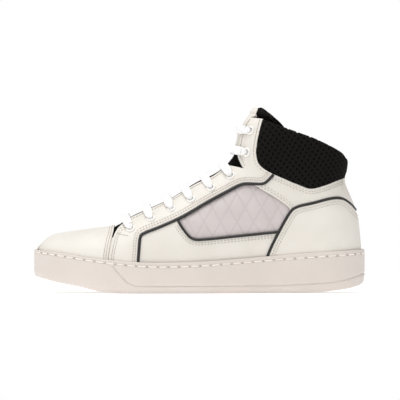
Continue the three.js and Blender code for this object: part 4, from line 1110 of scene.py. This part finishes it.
# ---- Heel counter and backstay ---------------------------------------------------------------
# The counter wraps the heel in one plain piece edged with piping; the backstay is a short strip
# that covers the back seam between the counter and the collar.
counter_edge = curve([(60, 24), (66, 40), (74, 56), (83.5, 72.5), (90, 77.6), (104, 81), (120, 85),
                      (130, 85.2), (138, 80.5), (146, 72.5), (156, 66)], 140)
counter_area = closed(counter_edge, [(156, 22), (60, 22)])
counter_rows = [moved(counter_edge, -2.2), moved(counter_edge, -4.4)]
body = panel(counter_area, heel_chart, 0, LEATHER, BOTH, swell=sunk_along(*counter_rows))
sheet_piece("heel_counter_leather", body, white_leather, "leather_white", "heel_counter")
sew("heel_counter_seams", [(line, heel_chart, 0) for line in counter_rows], BOTH)
roll = bead(moved(counter_edge, 1.25), heel_chart, 0.7, PIPING_RADIUS, BOTH)
new_piece("heel_counter_roll", *roll, piping, "piping_black", stands_for=("heel_counter_piping",))
stay_area = closed([(128, 74), (170, 74), (170, 106.5), (133, 105)])
body = panel(stay_area, heel_chart, UNDERLAY_TOP - 1.0, LEATHER, BOTH)
sheet_piece("backstay_leather", body, white_leather, "leather_white", "backstay")

# ---- Collar ----------------------------------------------------------------------------------
# Thick soft foam in a black spacer mesh with an open honeycomb. The mesh goes over the top and
# down inside, where a plain black cloth takes over.
COLLAR_STATIONS = 57
COLLAR_OUTSIDE = 11
COLLAR_ROLL = 5
REFINE = 5
HOLE_PITCH = 5.5
HOLE_ROWS = 6.8
HOLE_TILT = -0.16
HOLE_DEPTH = 0.75
COLLAR_SHRINK = 0.5
COLLAR_PAD = 5
PRESSURE = 4.0
CLOTH_FRAMES = 20
SWELL_CAP = 5.0


def padded_depth(x):
    return LINING_FACE + COLLAR_PAD * smooth(58, 88, x)


collar_top = curve([(146, 122), (136.5, 124.5), (131, 130), (111, 139.3), (92.5, 146), (74.5, 152.6),
                    (57.5, 159)])


def up_to_seam(line, axis):
    """A flat line cut off where it crosses the back seam or the ridge."""
    if line[0, axis] < line[-1, axis]:
        line = line[::-1]
    inside = line[line[:, axis] > 0]
    seam_foot = inside[-1] * np.where(np.arange(2) == axis, 0, 1)
    after = line[len(inside)] if len(inside) < len(line) else seam_foot
    share = inside[-1, axis] / (inside[-1, axis] - after[axis])
    return np.vstack([inside, inside[-1] + (after - inside[-1]) * share])


def evenly(line, count):
    steps = np.r_[0, np.cumsum(np.linalg.norm(np.diff(line, axis=0), axis=1))]
    marks = np.linspace(0, steps[-1], count)
    return np.column_stack([np.interp(marks, steps, line[:, k]) for k in range(2)])


def patch(bottom, top, front, rear):
    """A grid of flat points between four lines: bottom to top, front to rear."""
    rows, columns = len(front), len(bottom)
    v = np.linspace(0, 1, rows)[:, None, None]
    u = np.linspace(0, 1, columns)[None, :, None]
    return (
        (1 - v) * bottom[None] + v * top[None] + (1 - u) * front[:, None] + u * rear[:, None]
        - (1 - u) * (1 - v) * bottom[0] - u * (1 - v) * bottom[-1] - (1 - u) * v * top[0] - u * v * top[-1]
    )


def refined(points, times, around):
    """A grid of points with smooth points added between them along the second axis."""
    count = points.shape[1]
    steps = np.arange(count * times) / times if around else np.arange((count - 1) * times + 1) / times
    start = np.minimum(steps.astype(int), count - (1 if around else 2))
    part = (steps - start)[None, :, None]

    def at(offset):
        index = start + offset
        return points[:, index % count if around else np.clip(index, 0, count - 1)]

    before, here, after, beyond = at(-1), at(0), at(1), at(2)
    bend = part * (3 * (here - after) + beyond - before)
    return here + part / 2 * (after - before + part * (2 * before - 5 * here + 4 * after - beyond + bend))


def loft_faces(stations, around):
    faces = grid_faces(stations, around, around=True)
    last = (stations - 1) * around
    half = around // 2
    for start, flipped in ((0, False), (last, True)):
        for k in range(half - 1):
            face = [start + k, start + k + 1, start + around - k - 2, start + around - k - 1]
            faces.append(face if flipped else face[::-1])
    return faces


def inflated(name, rings, pinned, cap):
    """Blows a closed form of rings up by cloth simulation and gives its points back."""
    stations, around = rings.shape[:2]
    mesh = bpy.data.meshes.new(name)
    mesh.from_pydata((rings.reshape(-1, 3) * MM).tolist(), [], loft_faces(stations, around))
    bag = bpy.data.objects.new(name, mesh)
    bpy.context.scene.collection.objects.link(bag)
    group = bag.vertex_groups.new(name="held")
    group.add([int(k) for k in np.flatnonzero(pinned.ravel())], 1.0, "REPLACE")
    cloth = bag.modifiers.new("cloth", "CLOTH")
    cloth.settings.vertex_group_mass = "held"
    cloth.settings.use_pressure = True
    cloth.settings.uniform_pressure_force = PRESSURE
    cloth.settings.quality = 5
    cloth.settings.mass = 0.3
    cloth.settings.tension_stiffness = 20
    cloth.settings.compression_stiffness = 20
    cloth.settings.bending_stiffness = 2
    cloth.settings.effector_weights.gravity = 0
    cloth.collision_settings.use_collision = False
    cloth.point_cache.frame_start = 1
    cloth.point_cache.frame_end = CLOTH_FRAMES
    scene = bpy.context.scene
    for step in range(1, CLOTH_FRAMES + 1):
        scene.frame_set(step)
    result = bag.evaluated_get(bpy.context.evaluated_depsgraph_get())
    settled = np.empty(len(mesh.vertices) * 3)
    result.data.vertices.foreach_get("co", settled)
    scene.frame_set(1)
    bpy.data.objects.remove(bag)
    bpy.data.meshes.remove(mesh)
    change = settled.reshape(rings.shape) / MM - rings
    size = np.linalg.norm(change, axis=2, keepdims=True)
    change *= np.minimum(1, cap / np.maximum(size, 1e-6))
    return rings + change


def honeycomb(place):
    """1 in the holes of the mesh, 0 on its threads."""
    x = place[..., 0] * math.cos(HOLE_TILT) - place[..., 1] * math.sin(HOLE_TILT)
    z = place[..., 0] * math.sin(HOLE_TILT) + place[..., 1] * math.cos(HOLE_TILT)
    wave = np.cos(2 * math.pi * x / HOLE_PITCH) * np.cos(2 * math.pi * z / HOLE_ROWS)
    return smooth(0.35, 0.85, wave)


def outward_of(points):
    """Outward directions at the points of a closed form of rings."""
    across = np.gradient(points, axis=0)
    around = np.roll(points, -1, axis=1) - np.roll(points, 1, axis=1)
    normal = np.cross(across, around)
    normal /= np.linalg.norm(normal, axis=2, keepdims=True) + 1e-9
    from_middle = points - points.mean(axis=1, keepdims=True)
    return normal * np.sign((normal * from_middle).sum(2).mean())


def spacer_mesh(name):
    """Black spacer mesh: knitted ribs round open holes; the holes are painted near black, painted shade for
    the dark seen through them.
    """
    finish = Finish(name, 0.95, Specular_IOR_Level=0.12)
    place = finish.node("ShaderNodeAttribute", {"attribute_name": "cloth_place"}, {}, "Vector")
    x, z, plain_part = finish.axes(place)
    along = x * math.cos(HOLE_TILT) - z * math.sin(HOLE_TILT)
    up = x * math.sin(HOLE_TILT) + z * math.cos(HOLE_TILT)
    wave = (along * (2 * math.pi / HOLE_PITCH)).cosine() * (up * (2 * math.pi / HOLE_ROWS)).cosine()
    holes = wave.between(0.42, 0.62) * (1 - plain_part)
    knit = (along * 9.0).cosine() * (up * 9.0).cosine()
    fuzz = finish.noise(0.8, 3)
    ribs = finish.mixed(fuzz, colour(0.003, 0.0028, 0.0022), colour(0.0125, 0.011, 0.009))
    # The holes get a near-black colour: painted shade, darker than the black ribs.
    finish.wear("Base Color", finish.mixed(holes, ribs, colour(0.0008, 0.0007, 0.0006)))
    finish.wear("Normal", finish.relief(knit * 0.5 + fuzz, 0.1))
    return finish.material


low_flat = evenly(up_to_seam(heel_chart.flatten(collar_low), 0), COLLAR_STATIONS // 2 + 1)
top_flat = evenly(up_to_seam(heel_chart.flatten(collar_top[::-1]), 0), COLLAR_STATIONS // 2 + 1)
front_flat = evenly(heel_chart.flatten(facing_collar[::-1]), COLLAR_OUTSIDE)
rear_flat = np.linspace(low_flat[-1], top_flat[-1], COLLAR_OUTSIDE)
collar_patch = patch(low_flat, top_flat, front_flat, rear_flat)


def collar_section(column, side):
    """The padded section of the collar at one place along it, outer seam to inner seam."""
    outside = collar_patch[:, column]
    x = heel_chart.drawn(outside)[:, 0]
    thick = padded_depth(x) - 2 * COLLAR_SHRINK
    roll = float(thick[-1]) / 2
    height = outside[-1, 1] - outside[0, 1]
    outside = outside.copy()
    outside[:, 1] = outside[0, 1] + (outside[:, 1] - outside[0, 1]) * (1 - roll / height)
    turn = np.linspace(0, math.pi, COLLAR_ROLL + 2)[1:-1]
    rolled = np.repeat(outside[-1:], COLLAR_ROLL, axis=0) + np.column_stack([0 * turn, roll * np.sin(turn)])
    flat = np.vstack([outside, rolled, outside[::-1]])
    edge = np.sin(np.linspace(0, math.pi / 2, COLLAR_OUTSIDE)) ** 0.5
    sunk = 0.9 * (1 - edge)
    depth = np.r_[COLLAR_SHRINK + sunk, COLLAR_SHRINK + roll * (1 - np.cos(turn)),
                  (COLLAR_SHRINK + thick - sunk)[::-1]]
    return lifted(heel_chart, flat, depth, side), flat


collar_rings, collar_places = [], []
middle = COLLAR_STATIONS // 2
for station in range(COLLAR_STATIONS):
    side = -1 if station <= middle else 1
    column = station if station <= middle else COLLAR_STATIONS - 1 - station
    ring, flat = collar_section(column, side)
    collar_rings.append(ring)
    collar_places.append(flat * (side if column != middle else 1, 1))
collar_rings = np.array(collar_rings)
collar_places = np.array(collar_places)
collar_places[middle, :, 0] = 0
collar_held = np.zeros(collar_rings.shape[:2], bool)
collar_held[:, [0, -1]] = True
collar_held[[0, -1]] = True
collar_rings = inflated("collar_bag", collar_rings, collar_held, SWELL_CAP)


def fine_grid(rings, places):
    """Refines the rings and their cloth places both ways."""
    both = np.concatenate([rings, places], axis=2)
    both = refined(both, REFINE, True)
    both = refined(both.transpose(1, 0, 2), REFINE, False).transpose(1, 0, 2)
    return both[..., :3], both[..., 3:]


collar_fine, collar_flat = fine_grid(collar_rings, collar_places)
outward = outward_of(collar_fine)
ring_share = np.arange(collar_fine.shape[1]) / REFINE
inner_part = smooth(COLLAR_OUTSIDE + COLLAR_ROLL + 1, COLLAR_OUTSIDE + COLLAR_ROLL + 2, ring_share)[None, :]
holes = honeycomb(collar_flat) * (1 - inner_part)
collar_fine = collar_fine - outward * (holes * HOLE_DEPTH)[..., None]
stations, around = collar_fine.shape[:2]
collar_attribute = np.concatenate([collar_flat, np.broadcast_to(inner_part, (stations, around))[..., None]],
                                  axis=2)
black_mesh = spacer_mesh("black_spacer_mesh")
collar = new_piece("collar_pad", collar_fine.reshape(-1, 3), loft_faces(stations, around), black_mesh,
                   "mesh_black",
                   stands_for=("collar_mesh", "collar_foam_lateral", "collar_foam_medial", "collar_lining"),
                   places=collar_attribute.reshape(-1, 3))

# ---- Tongue ----------------------------------------------------------------------------------
# A padded strip of the same black mesh, sewn in at the bottom of the throat. It lies under the
# lace, spreads inside the collar, and ends in a white leather patch at its top edge.
TONGUE_STATIONS = 61
TONGUE_ACROSS = 17
TONGUE_HALF = 3.0
TONGUE_DEPTH = LINING_FACE + 2 * GAP + 1.8
TONGUE_RISE = 1.7


def tongue_depth(x, z):
    """How deep the tongue's face lies: it swells up between the facings and comes out at the top."""
    inner = np.maximum(TONGUE_DEPTH, padded_depth(x) + 2 * GAP)
    down = front_chart.flatten(np.column_stack([x, z]))[:, 1]
    swollen = (1 - smooth(8, 17, down)) * smooth(-83, -77, x) * (1 - smooth(150, 160, z))
    inner = inner + (TONGUE_RISE - inner) * swollen
    rise = smooth(0.5, 6.5, z - np.interp(x, (45.5, 57.5, 74.5, 92.5), (160, 159, 152.6, 146)))
    return inner + (UNDERLAY_TOP - inner) * rise


tongue_wing = curve([(-78, 44), (-54, 49), (-30, 60), (-8, 72), (14, 84), (34, 98), (50, 113), (60, 130),
                     (67, 144), (72.5, 154)])
tongue_top = curve([(72.5, 154), (69, 158.6), (63.4, 163.8), (58, 168), (54, 171), (50.5, 172.5)])
wing_flat = evenly(front_chart.flatten(tongue_wing), TONGUE_STATIONS)
top_edge = evenly(np.maximum(front_chart.flatten(tongue_top[::-1]), 0), TONGUE_ACROSS // 2 + 1)
ridge_ends = [front_chart.flatten(np.array([(-84, 60.5)]))[0, 0], top_edge[0, 0]]
ridge_flat = np.column_stack([np.linspace(*ridge_ends, TONGUE_STATIONS), np.zeros(TONGUE_STATIONS)])
base_edge = np.linspace(ridge_flat[0], wing_flat[0], TONGUE_ACROSS // 2 + 1)
tongue_patch_flat = patch(ridge_flat, wing_flat, base_edge, top_edge)


def tongue_ring(station):
    """A section across the tongue: lateral edge over the top to the medial edge, and back beneath."""
    half = tongue_patch_flat[:, station]
    flat = np.vstack([half[::-1], half[1:]])
    side = np.r_[-np.ones(len(half)), np.ones(len(half) - 1)]
    from_edge = np.minimum(np.abs(np.abs(np.linspace(-1, 1, len(flat))) - 1) * half[-1, 1],
                           min(station, TONGUE_STATIONS - 1 - station) * 2.7)
    thick = TONGUE_HALF * np.sqrt(np.clip(1 - (1 - np.clip(from_edge / 5, 0, 1)) ** 2, 0, 1)) * 0.85 + 0.35
    drawn = front_chart.drawn(flat, 0)
    middle_depth = tongue_depth(drawn[:, 0], drawn[:, 1]) + TONGUE_HALF + 0.2
    upper_side = lifted(front_chart, flat, middle_depth - thick, side)
    lower_side = lifted(front_chart, flat, middle_depth + thick, side)
    place = np.column_stack([flat[:, 0], flat[:, 1] * side])
    return np.vstack([upper_side, lower_side[::-1]]), np.vstack([place, place[::-1]])


tongue_rings, tongue_places = map(np.array, zip(*[tongue_ring(k) for k in range(TONGUE_STATIONS)]))
tongue_held = np.zeros(tongue_rings.shape[:2], bool)
tongue_held[:, [0, TONGUE_ACROSS - 1, TONGUE_ACROSS, -1]] = True
tongue_held[[0, -1]] = True
tongue_rings = inflated("tongue_bag", tongue_rings, tongue_held, 1.0)
tongue_fine, tongue_flat = fine_grid(tongue_rings, tongue_places)
outward = outward_of(tongue_fine)
stations, around = tongue_fine.shape[:2]
under_part = smooth(TONGUE_ACROSS - 0.8, TONGUE_ACROSS, np.arange(around) / REFINE)[None, :]
pressed = honeycomb(tongue_flat) * (1 - under_part) * HOLE_DEPTH * 0.8
tongue_fine = tongue_fine - outward * pressed[..., None]
tongue_attribute = np.concatenate([tongue_flat, np.broadcast_to(under_part, (stations, around))[..., None]],
                                  axis=2)
tongue = new_piece("tongue_pad", tongue_fine.reshape(-1, 3), loft_faces(stations, around), black_mesh,
                   "mesh_black",
                   body=None, stands_for=("tongue_mesh", "tongue_foam", "tongue_lining"),
                   places=tongue_attribute.reshape(-1, 3))
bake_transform(tongue)

patch_area = closed([(24, 134), (34.5, 134), (36.5, 142), (39, 150), (42.5, 157), (46, 161.2), (50, 162.6),
                     (51.3, 165), (52.6, 167.5), (52.8, 169.4), (50, 171), (46, 171.5), (30, 171), (10, 150)])


def patch_swell(x, z, edge):
    return tongue_depth(x, z) - 1.8


body = panel(patch_area, front_chart, 0, 1.0, BOTH, spacing=2.2, rings=(0.8, 1.6), swell=patch_swell)
tongue_patch = new_piece("tongue_patch_leather", *body, white_leather, "leather_white", body="tongue",
                         stands_for=("tongue_patch",))
tidy_mesh(tongue_patch)

# ---- Eyelets ---------------------------------------------------------------------------------
# Sixteen pressed rings enamelled white: a domed flange on the leather and a short barrel.
EYELET_SIDES = 32
EYELET_PROFILE = ((EYELET_HOLE, -3.2), (EYELET_HOLE, 0.5), (2.55, 0.85), (2.95, 1.05), (3.5, 0.98),
                  (4.0, 0.68), (4.3, 0.2), (4.3, -0.1), (2.9, -0.1), (2.9, -3.2))


def white_enamel():
    finish = Finish("white_enamel", 0.3, Coat_Weight=0.3)
    chips = finish.noise(1.6, 4).between(0.72, 0.8)
    finish.wear("Base Color", finish.mixed(chips * 0.3, colour(0.84, 0.82, 0.79), colour(0.6, 0.57, 0.53)))
    finish.wear("Roughness", 0.28 + 0.2 * finish.noise(2.5, 3))
    finish.wear("Normal", finish.relief(finish.noise(1.2, 3), 0.03))
    return finish.material


def seat_on(place, depth, side):
    """A point on the upper with its outward direction."""
    x, z = np.array([place[0]]), np.array([place[1]])
    here = on_upper(x, z, depth, side)[0]
    ahead = on_upper(x + 0.5, z, depth, side)[0] - here
    above = on_upper(x, z + 0.5, depth, side)[0] - here
    normal = np.cross(ahead, above) * -side
    return here, normal / np.linalg.norm(normal)


enamel = white_enamel()
for label, side in SIDES:
    for number, place in enumerate(eyelet_places, 1):
        spot, normal = seat_on(place, 0, side)
        first = np.cross(normal, (0, 0, 1))
        first /= np.linalg.norm(first)
        second = np.cross(normal, first)
        turn = (np.arange(EYELET_SIDES) * 2 * math.pi / EYELET_SIDES)[:, None]
        ring = np.cos(turn) * first + np.sin(turn) * second
        rings = [spot + normal * rise + radius * ring for radius, rise in EYELET_PROFILE]
        points = np.vstack([*rings, rings[0]])
        faces = grid_faces(len(EYELET_PROFILE) + 1, EYELET_SIDES, around=True)
        sheet_piece(f"eyelet_ring_{label}_{number}", (points, faces), enamel, "eyelet_white",
                    f"eyelet_{label}_{number}")

# ---- Lace ------------------------------------------------------------------------------------
# One flat white tubular lace, 8 mm wide, laced in straight bars: across outside, then up under
# the facing to the next eyelet and back across. Its ends are tucked inside.
LACE_WIDTH = 8.0
LACE_PINCH = 3.4
LACE_THICKNESS = 1.5
BAR_RISE = 2.35
UNDER_RUN = 5.3
TURN = 1.9
LACE_REFINE = 6
NOTCH_ROW = 5
ROUND_NOTCH = [(35, 108.5), (43.5, 110.5), (47, 115.5), (46, 122.5)]
LACE_SIDES = 16
bar_directions = [(-0.45, 0.89), (-0.42, 0.91), (-0.44, 0.9), (-0.5, 0.87), (-0.52, 0.85), (-0.55, 0.83),
                  (-0.98, 0.2), (-0.99, 0.1)]
bar_directions = [np.array(way) / np.hypot(*way) for way in bar_directions]


def to_ridge(place, way, depth):
    """How far a line from a place runs before it reaches the ridge at a depth."""
    steps = np.linspace(0, 30, 3001)
    x, z = place[0] + way[0] * steps, place[1] + way[1] * steps
    angle, radius = ray_to(x, z)
    near = np.interp(angle, rays, ray_ridge) + depth * np.interp(angle, rays, ray_slant)
    return steps[np.argmax(radius <= near)]


def spot_at(place, depth, side):
    return on_upper(np.array([place[0]]), np.array([place[1]]), depth, side)[0]


def bar_stations(row):
    place, way = np.array(eyelet_places[row]), bar_directions[row]
    reach = to_ridge(place, way, -BAR_RISE)
    wide = np.array([way[1], 0, -way[0]])
    shares = (0.34, 0.55, 0.75, 0.89, 0.97)
    points = [spot_at(place + way * reach * share, -BAR_RISE, -1) for share in shares]
    top = place + way * (reach - 0.02)
    crown = [np.array([top[0], centre_line(top[0]), top[1]])]
    points += crown + [spot_at(place + way * reach * share, -BAR_RISE, 1) for share in shares[::-1]]
    widths = [LACE_WIDTH * 0.93, *[LACE_WIDTH] * (len(points) - 2), LACE_WIDTH * 0.93]
    return [(point, wide, width) for point, width in zip(points, widths)]


def under_stations(row, side):
    first, second = np.array(eyelet_places[row]), np.array(eyelet_places[row + 1])
    spots = [first + (second - first) * share for share in (0.22, 0.4, 0.6, 0.78)]
    if row == NOTCH_ROW:
        spots = ROUND_NOTCH
    return laid_flat(spots, side, LACE_PINCH * 1.3)


def hole_stations(row, side):
    spot, normal = seat_on(eyelet_places[row], 0, side)
    way = bar_directions[row]
    towards = np.array([way[0], 0, way[1]])
    towards = towards - towards @ normal * normal
    towards /= np.linalg.norm(towards)
    wide = np.array([way[1], 0, -way[0]])
    stops = ((TURN * 1.9, BAR_RISE + 0.15, 2.2), (TURN * 0.8, BAR_RISE - TURN * 0.2, 1.7),
             (TURN * 0.25, BAR_RISE - TURN, 1.15), (0, TURN * 0.9 - UNDER_RUN, 1),
             (TURN * 0.35, TURN * 0.2 - UNDER_RUN, 1))
    return [(spot + towards * along + normal * up, wide, LACE_PINCH * share) for along, up, share in stops]


def laid_flat(spots, side, width):
    """Stations of a run that lies flat under a facing."""
    points = [spot_at(spot, UNDER_RUN, side) for spot in spots]
    result = []
    for k, (point, spot) in enumerate(zip(points, spots)):
        along = points[min(k + 1, len(points) - 1)] - points[max(k - 1, 0)]
        result.append((point, np.cross(along, seat_on(spot, UNDER_RUN, side)[1]), width))
    return result


route = laid_flat([(-40, 65.8), (-47, 62.2), (-54, 58.6), (-59, 57)], -1, LACE_PINCH * 1.2)
side = -1
for row in range(len(eyelet_places)):
    bar = bar_stations(row)
    route += hole_stations(row, side)[::-1] + (bar if side < 0 else bar[::-1]) + hole_stations(row, -side)
    side = -side
    if row + 1 < len(eyelet_places):
        route += under_stations(row, side)
route += laid_flat([(49.2, 145), (49.8, 140), (49.6, 135), (49.2, 131)], side, LACE_PINCH * 1.2)

stops = np.array([[*point, *(wide / np.linalg.norm(wide)), width] for point, wide, width in route])
for k in range(1, len(stops)):
    if stops[k, 3:6] @ stops[k - 1, 3:6] < 0:
        stops[k, 3:6] *= -1
fine_stops = refined(stops[None], LACE_REFINE, False)[0]
lace_path, lace_wide, lace_width = fine_stops[:, :3], fine_stops[:, 3:6], fine_stops[:, 6]


def lace_tube():
    along = np.gradient(lace_path, axis=0)
    along /= np.linalg.norm(along, axis=1)[:, None]
    across = lace_wide - (lace_wide * along).sum(1)[:, None] * along
    across /= np.linalg.norm(across, axis=1)[:, None]
    up = np.cross(along, across)
    turn = np.arange(LACE_SIDES) * 2 * math.pi / LACE_SIDES
    wide = np.sign(np.cos(turn)) * np.abs(np.cos(turn)) ** 0.55
    high = np.sign(np.sin(turn)) * np.abs(np.sin(turn)) ** 0.8
    narrow = smooth(4, LACE_WIDTH, lace_width)
    thick = LACE_THICKNESS * (1.25 - 0.25 * narrow) / 2
    flat = across[:, None] * (lace_width[:, None] / 2 * wide)[..., None]
    ring = flat + up[:, None] * (thick[:, None] * high)[..., None]
    points = (lace_path[:, None] + ring).reshape(-1, 3)
    faces = grid_faces(len(lace_path), LACE_SIDES, around=True)
    last = (len(lace_path) - 1) * LACE_SIDES
    faces += [list(range(LACE_SIDES))[::-1], [last + k for k in range(LACE_SIDES)]]
    steps = np.r_[0, np.cumsum(np.linalg.norm(np.diff(lace_path, axis=0), axis=1))]
    place = np.stack([np.repeat(steps, LACE_SIDES), (lace_width[:, None] / 2 * wide).ravel(),
                      np.zeros(len(points))], axis=1)
    return points, faces, place, steps[-1]


def glowing_woven_cotton():
    # The lace glows faintly (emission 0.08): painted light that brightens it.
    finish = Finish("glowing_woven_cotton", 0.85, Sheen_Weight=0.4, Emission_Strength=0.08,
                    Emission_Color=colour(1, 1, 1))
    place = finish.node("ShaderNodeAttribute", {"attribute_name": "cloth_place"}, {}, "Vector")
    along, across, _ = finish.axes(place)
    rising = (along * 5.0 + across * 5.0).cosine()
    falling = (along * 5.0 - across * 5.0).cosine()
    weave = rising * 0.5 + falling * 0.5
    finish.wear("Base Color", finish.mixed(weave.between(-0.9, 0.3), colour(0.80, 0.79, 0.78),
                                           colour(0.95, 0.945, 0.94)))
    finish.wear("Normal", finish.relief(weave, 0.16))
    return finish.material


points, faces, places, lace_length = lace_tube()
new_piece("flat_lace", points, faces, glowing_woven_cotton(), "lace_white", stands_for=("lace",), places=places)

# ---- Studio ----------------------------------------------------------------------------------
# A pale floor, a white surround and large soft lamps; a long lens looks at the outer side.
FLOOR_SIZE = 1.8
VIEW_CENTRE = (0.0007, 0.0, 0.0849)
VIEW_WIDTH = 0.3674
CAMERA_DISTANCE = 4.0
SENSOR = 36.0


def pale_floor():
    finish = Finish("pale_floor", 0.9, Emission_Strength=0.42, Emission_Color=colour(1, 1, 1))
    finish.wear("Base Color", finish.mixed(finish.noise(60, 2), colour(0.90, 0.90, 0.90),
                                           colour(0.92, 0.92, 0.92)))
    return finish.material


floor_mesh = bpy.data.meshes.new("floor")
reach = FLOOR_SIZE / 2
floor_mesh.from_pydata([(-reach, -reach, 0), (reach, -reach, 0), (reach, reach, 0), (-reach, reach, 0)], [],
                       [(0, 1, 2, 3)])
floor = bpy.data.objects.new("floor", floor_mesh)
floor.location.z = -0.0002
floor_mesh.materials.append(pale_floor())
bpy.context.scene.collection.objects.link(floor)


def lamp(name, place, target, size, power):
    light = bpy.data.lights.new(name, "AREA")
    light.shape = "DISK"
    light.size = size
    light.energy = power
    stand = bpy.data.objects.new(name, light)
    stand.location = place
    stand.rotation_euler = (Vector(target) - Vector(place)).to_track_quat("-Z", "Y").to_euler()
    bpy.context.scene.collection.objects.link(stand)


lamp("overhead", (-0.25, -0.2, 1.5), (0, 0, 0), 1.2, 16)
lamp("key", (-1.1, -1.3, 0.9), (0, 0, 0.06), 0.9, 2)

world = bpy.data.worlds.new("surround")
bpy.context.scene.world = world
world.use_nodes = True
tree = world.node_tree
sky = tree.nodes["Background"]
sky.inputs["Color"].default_value = (1, 1, 1, 1)
sky.inputs["Strength"].default_value = 0.57
shown = tree.nodes.new("ShaderNodeBackground")
shown.inputs["Strength"].default_value = 1.0
shown.inputs["Color"].default_value = (1, 1, 1, 1)
either = tree.nodes.new("ShaderNodeMixShader")
seen = tree.nodes.new("ShaderNodeLightPath")
tree.links.new(seen.outputs["Is Camera Ray"], either.inputs[0])
tree.links.new(sky.outputs[0], either.inputs[1])
tree.links.new(shown.outputs[0], either.inputs[2])
tree.links.new(either.outputs[0], tree.nodes["World Output"].inputs["Surface"])

camera_data = bpy.data.cameras.new("side_view")
camera_data.sensor_width = SENSOR
camera_data.lens = SENSOR * CAMERA_DISTANCE / VIEW_WIDTH
camera_data.clip_end = 50
camera = bpy.data.objects.new("side_view", camera_data)
camera.location = Vector(VIEW_CENTRE) + Vector((0, -CAMERA_DISTANCE, 0))
camera.rotation_euler = (math.pi / 2, 0, 0)
bpy.context.scene.collection.objects.link(camera)
bpy.context.scene.camera = camera
bpy.context.scene.view_settings.view_transform = "Standard"
